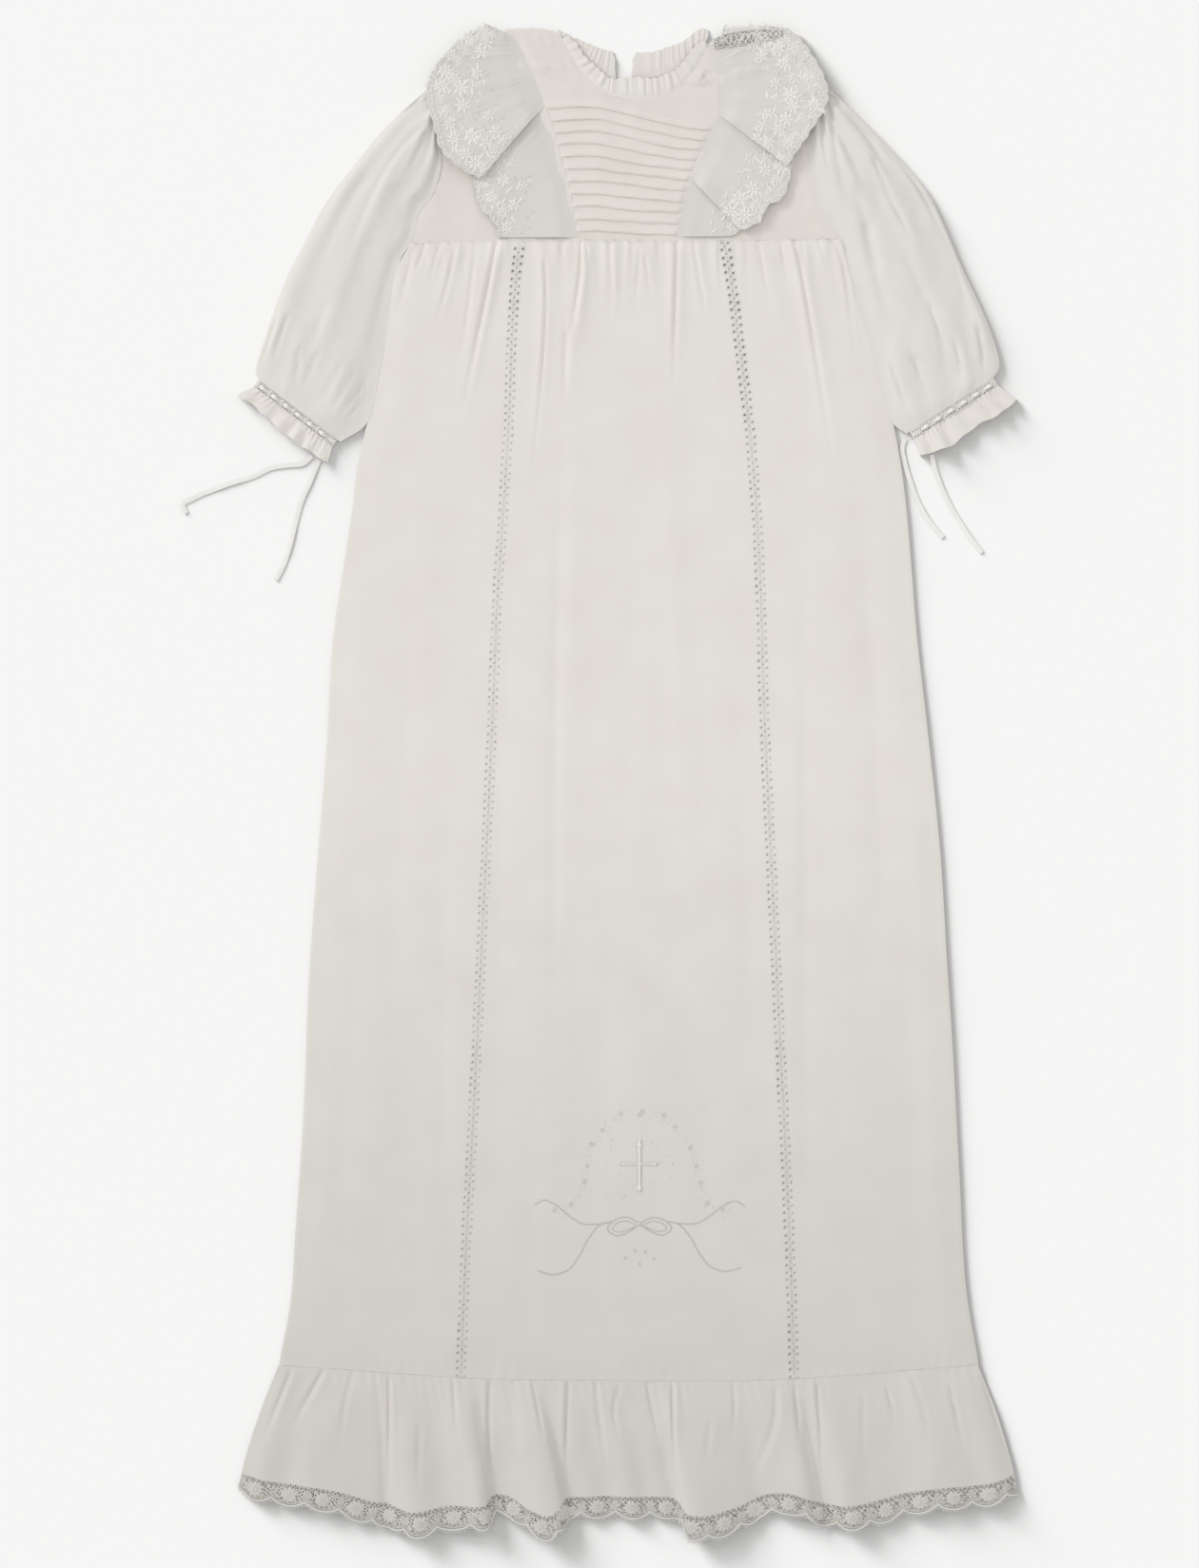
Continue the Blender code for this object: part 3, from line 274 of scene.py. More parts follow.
# Flounces: a table for each lobe, with a row for each section from the seam to the free edge and the height
# at both. The last row of a lobe with another below it is the crest of the fold that laps it over that one.
FLOUNCE_COLUMNS = "seam_x seam_y edge_x edge_y seam_z edge_z"
FLOUNCE = {
    "right": (
        table(
            FLOUNCE_COLUMNS,
            (-75.6, 472.0, -87, 476.6, 3.2, 4.0), (-72.6, 466.0, -105, 468.4, 3.2, 5.2),
            (-68.6, 457.5, -122.5, 449.5, 3.2, 6.2), (-64.0, 447.0, -126.6, 433.5, 3.3, 7.2),
            (-60.4, 440.0, -121.6, 411.0, 3.8, 8.0), (-57.6, 434.0, -117.6, 398.0, 4.8, 8.6),
            (-55.9, 430.0, -105, 386.0, 5.7, 8.8), (-54.2, 424.8, -93.0, 380.0, 6.0, 7.8),
        ),
        table(
            FLOUNCE_COLUMNS,
            (-52.6, 420.6, -96.4, 374.4, 3.2, 4.6), (-49.2, 409.0, -93.4, 362.4, 3.2, 5.2),
            (-43.6, 392.0, -87.4, 356.0, 3.2, 5.0), (-38.6, 374.0, -83.0, 350.0, 3.2, 4.2),
            (-33.4, 343.8, -82.4, 343.8, 3.2, 3.4),
        ),
    ),
    "left": (
        table(
            FLOUNCE_COLUMNS,
            (56.6, 467.4, 60.0, 473.6, 3.2, 4.0), (57.2, 461.0, 78, 475.6, 3.2, 4.6),
            (57.8, 454.6, 100, 474.8, 3.2, 5.4), (58.4, 447.6, 113.6, 461.6, 3.2, 6.2),
            (58.8, 440.0, 123.8, 443.0, 3.6, 7.2), (59.0, 432.0, 125.0, 427.6, 4.6, 8.0),
            (58.9, 425.8, 113.0, 407.0, 5.5, 8.4), (58.4, 420.0, 100.0, 387.8, 6.0, 7.6),
        ),
        table(
            FLOUNCE_COLUMNS,
            (55.6, 413.4, 101.6, 378.8, 3.2, 4.6), (50.0, 402.0, 97.2, 368.0, 3.4, 5.4),
            (45.6, 393.0, 88.0, 363.0, 4.4, 6.0), (42.9, 386.0, 82.6, 353.0, 5.5, 6.6),
            (40.6, 379.6, 70.6, 347.4, 6.0, 6.4),
        ),
        table(
            FLOUNCE_COLUMNS,
            (38.6, 370.0, 67.6, 346.0, 3.2, 3.5), (32.4, 344.2, 63.0, 344.4, 3.2, 3.4),
        ),
    ),
}

# How far each fold of a flounce reaches back under it, at the seam and at the free edge
FLOUNCE_LAPS = {"right": ((3.0, 8.0),), "left": ((3.0, 8.0), (2.4, 4.0))}

# Free ends of the ribbon in the cuffs, from the cuff to the cut end, on the surface
RIBBON_ROUTES = {
    "ribbon_tie_1": (
        (-199.2, 206.2), (-204.6, 201.6), (-214, 200.4), (-225, 198.6), (-236, 193.4), (-248, 189.8),
        (-261, 185.2), (-274, 179.6), (-280.6, 175.4), (-278.6, 170.2),
    ),
    "ribbon_tie_2": (
        (-194.6, 203.8), (-197.4, 197.4), (-200.8, 189), (-205.4, 179), (-209.4, 165), (-213.4, 149),
        (-217, 138), (-222, 127.8),
    ),
    "ribbon_tie_3": (
        (174.9, 217.2), (172.9, 212), (174.2, 203), (178.4, 189), (183.8, 175.4), (190.4, 164.2),
        (198.6, 154.8),
    ),
    "ribbon_tie_4": (
        (191.5, 207.0), (193.2, 199.4), (196.0, 190.6), (200.6, 180), (208, 166.6), (216.4, 153.8),
        (223.2, 145.2),
    ),
}

CREASE_COLUMNS = "x0 y0 x1 y1 x2 y2 depth width lean"

# Gathers and creases of the front skirt: three points of each, its depth (a ridge where that is below 0), its
# half width, and how far its bright shoulder leans to the wearer's left
SKIRT_CREASES = table(
    CREASE_COLUMNS,
    (-120, 336, -123, 324, -125.4, 312, 0.5, 1.2, 0.6), (-109.2, 336, -115, 310, -122.4, 286, 0.7, 1.3, 0.5),
    (-97.2, 330, -101, 296, -105.6, 266, 0.6, 1.3, 0.4), (-82.8, 341, -91, 300, -108, 215, 1.5, 1.5, 0.8),
    (-52.8, 328, -53.2, 270, -63.6, 170, 0.8, 1.1, -0.6), (-42, 338, -41.4, 334, -40, 329, 0.8, 1.6, 0.0),
    (-29.6, 341, -31.2, 312, -38.6, 270, 1.5, 1.4, 0.9), (-38.6, 284, -39.6, 262, -39.2, 238, 0.7, 1.6, 0.9),
    (-26.4, 340, -26.0, 333, -25.8, 324, 0.7, 1.0, 0.4), (-11.4, 339, -10.6, 318, -9.6, 296, 0.5, 1.2, 0.5),
    (7.2, 338, 5.8, 316, 3.6, 294, 0.5, 1.1, -0.4), (10.8, 332, 12.6, 318, 15.6, 300, 0.5, 1.0, 0.4),
    (30.6, 341, 29.8, 300, 28.6, 240, 1.2, 1.4, -0.7), (41.4, 340, 45.6, 314, 51.6, 282, 0.7, 1.3, 0.5),
    (105, 340, 114, 296, 132.6, 178, 1.2, 1.5, -0.6), (109.2, 340, 110.6, 330, 111.6, 319, 0.6, 1.0, 0.3),
    (120, 341, 122.6, 334, 125.4, 327, 0.6, 1.0, 0.4), (127.8, 341, 137.2, 318, 143.4, 252, 0.8, 1.3, -0.4),
    (58, 340, 57.4, 326, 59.6, 306, 0.5, 1.0, -0.3),
    (82, 340, 85.4, 322, 90, 298, 0.5, 1.1, 0.5), (96, 341, 98, 330, 101, 312, 0.6, 1.0, 0.6),
    (-136, 336, -140, 316, -148, 288, 0.5, 1.4, -0.4), (-128, 340, -131, 330, -136, 318, 0.5, 1.0, 0.4),
    (18, 341, 19, 334, 19.4, 325, 0.5, 0.9, -0.3), (-2, 341, -2.6, 332, -2, 322, 0.4, 0.9, 0.3),
)

# Long soft folds of the front skirt, deepest in the middle of their length
SKIRT_FOLDS_LONG = table(
    CREASE_COLUMNS,
    (-39, 250, -46, 40, -46, -230, 0.7, 4.0, 0.9), (-117, 0, -116, -160, -115, -340, 0.5, 6.0, 0.5),
    (112, 230, 112, -60, 113, -340, 0.55, 5.0, -0.6), (22, 262, 30, 90, 44, -120, -0.6, 8.0, 0.0),
    (-130, 210, -142, 20, -150, -170, 0.5, 7.0, 0.4), (140, 236, 156, 30, 160, -180, 0.5, 6.0, -0.4),
    (70, 60, 74, -90, 78, -250, 0.4, 7.0, 0.4), (-74, 150, -80, -10, -82, -160, 0.4, 6.0, -0.5),
    (4, 230, 2, 60, -8, -110, 0.35, 6.0, 0.4), (-168, -60, -176, -190, -184, -330, 0.5, 8.0, 0.2),
    (172, -40, 178, -180, 186, -330, 0.5, 8.0, -0.2), (-12, -80, -14, -170, -20, -240, 0.3, 7.0, 0.3),
    (52, -150, 48, -230, 50, -320, 0.3, 6.0, -0.3), (-58, -190, -60, -270, -62, -350, 0.35, 6.0, 0.3),
)

# Creases of the yoke beside its tucks, below each shoulder
YOKE_CREASES = table(
    CREASE_COLUMNS,
    (-70, 468, -62, 452, -48, 441, 0.7, 2.2, 0.6), (-64, 446, -48, 442, -34, 440, 0.8, 3.0, 0.6),
    (-68, 460, -60, 455, -51, 453, 0.5, 1.8, -0.4), (-54, 470, -49, 463, -40, 462, 0.5, 1.2, 0.4),
    (-40, 454, -37, 449, -31, 444, 0.5, 1.3, 0.3), (-50, 449, -41, 447, -30, 445, 0.4, 1.6, 0.2),
    (53, 462, 60, 464, 70, 467, 0.5, 1.2, -0.5), (48, 445, 60, 449, 76, 453, 0.8, 1.5, -0.5),
    (46, 439, 58, 437, 72, 436, 0.6, 2.6, 0.5), (72, 443, 73, 449, 77, 455, 0.5, 1.2, 0.3),
    (36, 440, 43, 438, 50, 434, 0.4, 2.2, 0.2), (-20, 434, -6, 429, 10, 427, 0.3, 2.0, 0.2),
    (-118, 398, -112, 392, -110, 384, 0.5, 1.6, 0.3), (-121, 372, -114, 366, -106, 365, 0.6, 1.8, -0.3),
    (-126, 356, -118, 352, -114, 346, 0.5, 1.5, 0.4), (108, 398, 106, 384, 112, 372, 0.5, 1.8, -0.3),
    (112, 368, 108, 358, 112, 348, 0.4, 1.6, 0.3), (-104, 352, -98, 356, -92, 352, 0.4, 1.4, 0.2),
)

# Creases of each sleeve, from its head or its cuff into the fullness
SLEEVE_CREASES = {
    "right": table(
        CREASE_COLUMNS,
        (-122, 420, -152, 384, -182, 318, -1.2, 4.2, 0.0), (-124, 417, -158, 376, -187, 296, 0.9, 2.2, -0.6),
        (-118, 399, -122, 384, -126, 369, 0.9, 1.5, 0.5), (-134, 368, -127, 366, -120, 363, 0.7, 1.5, 0.3),
        (-138, 345, -134, 350, -129, 355, 0.7, 1.5, 0.3), (-152, 268, -168, 249, -184, 227, 1.3, 1.5, 0.7),
        (-215.4, 292, -220, 278, -224, 262, 0.8, 1.6, -0.5),
        (-207.6, 272, -208.6, 260, -209, 246, 0.8, 1.3, 0.5),
        (-181, 262, -188, 250, -195, 239, 0.8, 1.4, 0.6), (-173.4, 258, -181, 245, -189, 232, 0.8, 1.3, 0.6),
        (-134, 428, -170, 396, -206, 330, 0.6, 3.0, 0.4), (-146, 330, -156, 300, -166, 262, 0.6, 3.2, -0.3),
        (-196, 270, -201, 258, -205, 244, 0.7, 1.3, -0.4), (-222, 290, -227, 276, -231, 263, 0.6, 1.2, 0.3),
        (-166, 380, -184, 350, -198, 306, 0.5, 3.4, 0.5), (-127, 410, -133, 396, -140, 380, 0.7, 1.6, -0.4),
        (-190, 300, -196, 284, -200, 268, 0.5, 2.4, 0.3), (-164, 246, -172, 236, -182, 222, 0.7, 1.2, -0.4),
    ),
    "left": table(
        CREASE_COLUMNS,
        (123, 432, 150, 408, 170, 362, 1.1, 1.9, 0.7), (126, 433, 178, 384, 218, 282, 1.3, 2.0, 0.8),
        (199, 360, 222, 312, 233, 258, 0.9, 1.9, -0.5), (126.6, 424, 131, 398, 138, 366, 0.8, 1.5, 0.5),
        (206, 278, 208.6, 264, 210.4, 247, 0.8, 1.3, 0.5), (134, 428, 168, 400, 200, 352, -0.9, 3.6, 0.0),
        (121, 420, 124, 396, 130, 372, 0.6, 1.4, 0.5), (150, 350, 158, 316, 170, 276, 0.6, 3.2, 0.4),
        (190, 300, 197, 278, 200, 250, 0.7, 1.5, -0.4), (178, 270, 184, 256, 188, 240, 0.8, 1.3, 0.5),
        (220, 286, 223, 270, 224, 256, 0.7, 1.2, -0.4), (166, 262, 172, 246, 178, 230, 0.7, 1.3, 0.4),
        (144, 372, 152, 344, 160, 318, 0.5, 3.0, -0.4), (176, 330, 186, 306, 194, 280, 0.5, 3.0, 0.4),
        (130, 412, 142, 390, 152, 360, 0.6, 2.0, 0.3),
        (154.6, 391.9, 170.4, 356.7, 184.5, 333.8, 0.9, 1.2, 0.7),
        (161.6, 398.9, 197, 350, 216.2, 284.5, 0.95, 1.2, 0.8),
        (166.9, 397.1, 208, 338, 231, 270.4, 0.8, 1.1, -0.8),
    ),
}

# Creases of the hem ruffle, from its gathered seam towards the lace
HEM_CREASES = table(
    CREASE_COLUMNS,
    (-213, -372, -221, -392, -231, -417, 0.8, 1.5, 0.5),
    (-192.6, -371, -202, -388, -213, -408, 0.9, 1.5, 0.5),
    (-150.6, -373, -150.4, -410, -151, -455, 1.0, 1.3, 0.7),
    (-131.4, -404, -132, -426, -132.6, -450, 0.5, 1.4, 0.4),
    (-87, -377, -87.6, -410, -86, -450, 1.1, 1.3, -0.6), (-74, -380, -72, -410, -70, -448, 0.5, 4.0, 0.2),
    (-37.8, -379, -39, -410, -38.4, -447, 1.1, 1.2, -0.7),
    (-20.4, -379, -17.6, -404, -12, -437, 0.8, 1.3, 0.5),
    (-5.4, -381, -9, -398, -1.8, -420, 0.7, 1.2, 0.4), (28, -379, 28.6, -415, 30.4, -455, 0.9, 1.2, 0.9),
    (51.6, -404, 50, -416, 48, -430, 0.5, 1.6, 0.3), (93, -382, 89.4, -412, 72, -444, 0.8, 1.8, 0.6),
    (105, -380, 106.6, -398, 108, -417, 0.7, 1.3, 0.4), (118.8, -379, 121, -410, 123, -444, 1.0, 1.2, -0.5),
    (148.2, -388, 148, -408, 148.2, -428, 0.5, 1.3, 0.3),
    (163.2, -382, 166, -394, 168.6, -410, 0.7, 1.2, 0.4),
    (202.8, -380, 207, -400, 213, -427, 0.8, 1.3, 0.5), (224, -374, 230, -396, 240, -427, 0.8, 1.3, 0.4),
    (-110, -378, -109, -396, -107, -416, 0.6, 1.2, 0.3), (12, -380, 16, -398, 20, -418, 0.6, 1.2, -0.3),
    (66, -379, 67, -396, 64, -414, 0.6, 1.2, 0.3), (180, -378, 186, -396, 190, -420, 0.6, 1.3, -0.3),
    (-174, -373, -179, -396, -182, -424, 0.6, 1.4, 0.3), (-60, -379, -56, -398, -52, -420, 0.6, 1.3, -0.4),
)


def ease(t: Array) -> Array:
    """A smooth step from 0 to 1."""
    t = np.clip(t, 0, 1)
    return t * t * (3 - 2 * t)


def mix(a: Array, b: Array, t: Array) -> Array:
    """The value that lies the share t of the way from a to b."""
    return a + (b - a) * t


def through(at: Array, keys: Array, values: Array) -> Array:
    """A smooth curve through the values at the keys, read at the places given.

    Between two keys it is the cubic that has the values there and the slopes of their neighbours.

    Args:
        at: Where the curve is read.
        keys: The keys, rising or falling.
        values: The value at each key.

    Returns:
        One value for each place.
    """
    if keys[0] > keys[-1]:
        keys, values = keys[::-1], values[::-1]
    slopes = np.gradient(values, keys)
    at = np.clip(at, keys[0], keys[-1])
    i = np.clip(np.searchsorted(keys, at, side="right") - 1, 0, len(keys) - 2)
    step = keys[i + 1] - keys[i]
    t = (at - keys[i]) / step
    rise = (values[i + 1] - values[i]) * ease(t)
    return values[i] + rise + step * t * (1 - t) * ((1 - t) * slopes[i] - t * slopes[i + 1])


def stacked(*columns: Array) -> Array:
    """Columns of numbers as an array of points."""
    return np.stack(np.broadcast_arrays(*columns), -1)


def unit(vectors: Array) -> Array:
    """The vectors at length 1."""
    return vectors / np.maximum(np.linalg.norm(vectors, axis=-1, keepdims=True), 1e-9)


def lengths_along(line: Array) -> Array:
    """The distance from the start of a line to each of its points."""
    return np.concatenate([[0], np.cumsum(np.linalg.norm(np.diff(line, axis=0), axis=1))])


def heading(line: Array) -> Array:
    """The direction of a line of the plan at each of its points, as an angle without jumps."""
    return np.unwrap(np.arctan2(*np.gradient(line, axis=0).T[::-1]))


def rounded(count: int) -> Array:
    """Shares across a flattened tube as a row, closer together towards both edges."""
    return (1 - np.cos(np.linspace(0, np.pi, count)))[None] / 2


def drift(x: Array, y: Array | float, size: float, seed: int) -> Array:
    """Smooth uneven values, mostly between -1 and 1: six sine waves of random direction, length and phase.

    Args:
        x: Places along X.
        y: Places along Y.
        size: The usual length of a wave.
        seed: The number that picks the waves.

    Returns:
        One value for each place.
    """
    random = np.random.default_rng(seed)
    total = np.zeros(np.broadcast(x, y).shape)
    for angle, phase, length in random.uniform((0, 0, 0.7), (np.pi, 2 * np.pi, 1.6), (6, 3)):
        total += np.sin((x * np.cos(angle) + y * np.sin(angle)) * 2 * np.pi / (size * length) + phase)
    return total / 2.8


def relief(creases: Table, x: Array, y: Array, held: bool = True) -> Array:
    """Height that the listed creases add at places of the plan.

    Each crease is a parabola through its three points. Across it, the height is a trough, the bell curve of
    the distance over the width, with a lower bell on each side whose share follows the lean. Along it, the
    height is full from the start and fades to nothing at the end, or fades at both ends.

    Args:
        creases: The table of creases.
        x: Places along X.
        y: Places along Y.
        held: True where a seam holds the start of each crease.

    Returns:
        The height at each place.
    """
    total = np.zeros(np.broadcast(x, y).shape)
    x, y = (np.broadcast_to(value, total.shape) for value in (x, y))
    t = np.linspace(0, 1, 9)
    for x0, y0, x1, y1, x2, y2, depth, width, lean in zip(*creases.values()):
        shares = (1 - t) * (1 - 2 * t), 4 * t * (1 - t), t * (2 * t - 1)
        path = stacked(*(sum(s * v for s, v in zip(shares, ends)) for ends in ((x0, x1, x2), (y0, y1, y2))))
        margin = 5 * width
        near = (x > path[:, 0].min() - margin) & (x < path[:, 0].max() + margin)
        near &= (y > path[:, 1].min() - margin) & (y < path[:, 1].max() + margin)
        if not near.any():
            continue
        place = stacked(x[near], y[near])
        best, side, along = np.full(len(place), np.inf), np.zeros(len(place)), np.zeros(len(place))
        for i in range(len(t) - 1):
            run = path[i + 1] - path[i]
            off = place - path[i]
            share = np.clip(off @ run / (run @ run), 0, 1)
            gap = np.linalg.norm(off - share[:, None] * run, axis=1)
            closer = gap < best
            best = np.where(closer, gap, best)
            side = np.where(closer, np.sign(run[0] * off[:, 1] - run[1] * off[:, 0]), side)
            along = np.where(closer, (i + share) / (len(t) - 1), along)
        across = best * side / width
        shape = -1.15 * np.exp(-(across**2))
        shape += (0.26 + 0.26 * lean) * np.exp(-(((across - 2.1) / 1.9) ** 2))
        shape += (0.26 - 0.26 * lean) * np.exp(-(((across + 2.1) / 1.9) ** 2))
        fade = 1 - ease((along - 0.4) / 0.6)
        if not held:
            fade = ease(along / 0.4) * (1 - ease((along - 0.6) / 0.4))
        total[near] += depth * shape * fade
    return total


def gathers(run: Array, away: Array, pitch: float, reach: float, seed: int) -> Array:
    """Small gathers below a gathered seam, from 0 to about 1.

    A sine wave along the seam whose phase, strength and length drift, times a bell curve of the distance
    from the seam.

    Args:
        run: Distance along the seam.
        away: Distance from the seam.
        pitch: Distance between gathers.
        reach: How far the longest gathers run.
        seed: The number that picks the unevenness.

    Returns:
        The height at each place.
    """
    phase = 2 * np.pi * run / pitch + 2.4 * drift(run, 0, pitch * 6, seed)
    strength = np.clip(0.6 + 0.5 * drift(run, 0, pitch * 7, seed + 1), 0, 1)
    length = reach * (0.3 + 0.7 * ease(0.5 + 0.6 * drift(run, 0, pitch * 3, seed + 2)))
    return strength * (0.5 + 0.5 * np.sin(phase)) * np.exp(-((away / length) ** 2))


@dataclass
class Form:
    """Points in millimetres, faces of four and of three corners, and a plan of the cloth in millimetres."""

    points: Array
    quads: Array
    tris: Array = field(default_factory=lambda: np.zeros((0, 3), int))
    plan: Array | None = None

    def outwards(self) -> Form:
        """The same form with its faces turned so that it encloses a volume above 0."""
        corners = np.concatenate([self.quads[:, [0, 1, 2]], self.quads[:, [0, 2, 3]], self.tris])
        a, b, c = (self.points[corners[:, i]] - self.points.mean(axis=0) for i in range(3))
        if np.einsum("ij,ij->i", a, np.cross(b, c)).sum() < 0:
            return Form(self.points, self.quads[:, ::-1], self.tris[:, ::-1], self.plan)
        return self


def joined(forms: Sequence[Form]) -> Form:
    """Several forms as one.

    Args:
        forms: The forms. The plan of one that has none is its points seen from above.

    Returns:
        One form with all their points and faces.
    """
    points, quads, tris, plans, shift = [], [], [], [], 0
    for form in forms:
        points.append(form.points)
        quads.append(form.quads + shift)
        tris.append(form.tris + shift)
        plans.append(form.plan if form.plan is not None else form.points[:, :2])
        shift += len(form.points)
    return Form(*(np.concatenate(part) for part in (points, quads, tris, plans)))


def grid_quads(rows: int, columns: int, ring: bool = False) -> Array:
    """The quads between neighbouring points of a grid that is numbered row by row.

    Args:
        rows: The number of rows.
        columns: The number of points in a row.
        ring: True where each row is closed.

    Returns:
        The four corners of each quad.
    """
    number = np.arange(rows * columns).reshape(rows, columns)
    if ring:
        number = np.hstack([number, number[:, :1]])
    corners = number[:-1, :-1], number[:-1, 1:], number[1:, 1:], number[1:, :-1]
    return np.stack(corners, -1).reshape(-1, 4)


def grid_normals(grid: Array) -> Array:
    """Unit normals of a grid, the cross product of its two gradients, turned upwards on the whole."""
    normals = unit(np.cross(np.gradient(grid, axis=1), np.gradient(grid, axis=0)))
    return normals if normals[..., 2].mean() > 0 else -normals


def flat_rings(plan: Array, face: Array, under: Array) -> Array:
    """The rings of a flattened tube over one plan: along the upper heights, and back along the lower ones."""
    top, low = (np.concatenate([plan, height[..., None]], -1) for height in (face, under))
    return np.concatenate([top, low[:, -2:0:-1]], 1)


def ring_normals(rings: Array) -> Array:
    """Unit normals of rings whose last point meets the first one."""
    closed = np.concatenate([rings[:, -1:], rings, rings[:, :1]], 1)
    return unit(np.cross(np.gradient(closed, axis=1), np.gradient(closed, axis=0)))[:, 1:-1]


def wall(outer: Array, inner: Array, ring: bool = False, plan: Array | None = None) -> Form:
    """A closed wall lofted between two grids of one size, with rims along its open edges.

    Args:
        outer: The outer grid, rows by columns by 3.
        inner: The inner grid of the same size.
        ring: True where the last column meets the first one.
        plan: Where each point of the grid lies on the flat cloth.

    Returns:
        The wall as a closed form.
    """
    rows, columns = outer.shape[:2]
    quads = grid_quads(rows, columns, ring)
    shift = rows * columns
    edges = np.concatenate([quads[:, [0, 1]], quads[:, [1, 2]], quads[:, [2, 3]], quads[:, [3, 0]]])
    rim = edges[~np.isin(edges[:, 1] * shift + edges[:, 0], edges[:, 0] * shift + edges[:, 1])]
    rims = np.stack([rim[:, 1], rim[:, 0], rim[:, 0] + shift, rim[:, 1] + shift], -1)
    if plan is None:
        along = np.cumsum(np.linalg.norm(np.diff(outer, axis=1, prepend=outer[:, :1]), axis=-1), axis=1)
        down = np.cumsum(np.linalg.norm(np.diff(outer, axis=0, prepend=outer[:1]), axis=-1), axis=0)
        plan = stacked(along, down)
    points = np.concatenate([outer.reshape(-1, 3), inner.reshape(-1, 3)])
    faces = np.concatenate([quads, quads[:, ::-1] + shift, rims])
    return Form(points, faces, plan=np.concatenate([plan.reshape(-1, 2)] * 2)).outwards()


def cloth(face: Array, thickness: float = CLOTH, plan: Array | None = None) -> Form:
    """A thin closed sheet below a grid of points, offset along the grid's normals.

    Args:
        face: The grid of the outer side.
        thickness: The cloth's.
        plan: Where each point lies on the flat cloth.

    Returns:
        The sheet as a closed form.
    """
    return wall(face, face - grid_normals(face) * thickness, plan=plan)


def flat_tube(plan: Array, face: Array, under: Array, thickness: float) -> Form:
    """A flattened tube of cloth with open ends.

    Args:
        plan: The places of each ring, from the outer edge to the inner one.
        face: Height of the outside at each of them.
        under: Height of the underside at each of them.
        thickness: The cloth's.

    Returns:
        The tube: the rings of the outside, whose inside is offset along the normals.
    """
    rings = flat_rings(plan, face, under)
    count = face.shape[1]
    normals = ring_normals(rings)
    if normals[:, count // 2, 2].mean() < 0:
        normals = -normals
    inside = rings - normals * thickness
    upper = np.minimum(inside[..., 2], np.maximum(rings[..., 2] - 0.2, 0.6))
    inside[..., 2] = np.where(np.arange(rings.shape[1]) < count, upper, np.maximum(inside[..., 2], 0.2))
    return wall(rings, inside, ring=True)


def laid_plate(outline_low: Array, outline_high: Array, columns: int, face: Surface, foot: Surface) -> Form:
    """A laid panel between two side lines, with heights from two functions of the plan.

    Args:
        outline_low: Points of one side line, rows by 2.
        outline_high: Points of the other side line.
        columns: The number of points across.
        face: The height of the upper side at a place.
        foot: The height of the underside at a place.

    Returns:
        The panel as a closed form.
    """
    across = np.linspace(0, 1, columns)[None, :, None]
    plan = mix(outline_low[:, None], outline_high[:, None], across)
    x, y = plan[..., 0], plan[..., 1]
    return wall(stacked(x, y, face(x, y)), stacked(x, y, foot(x, y)), plan=plan)


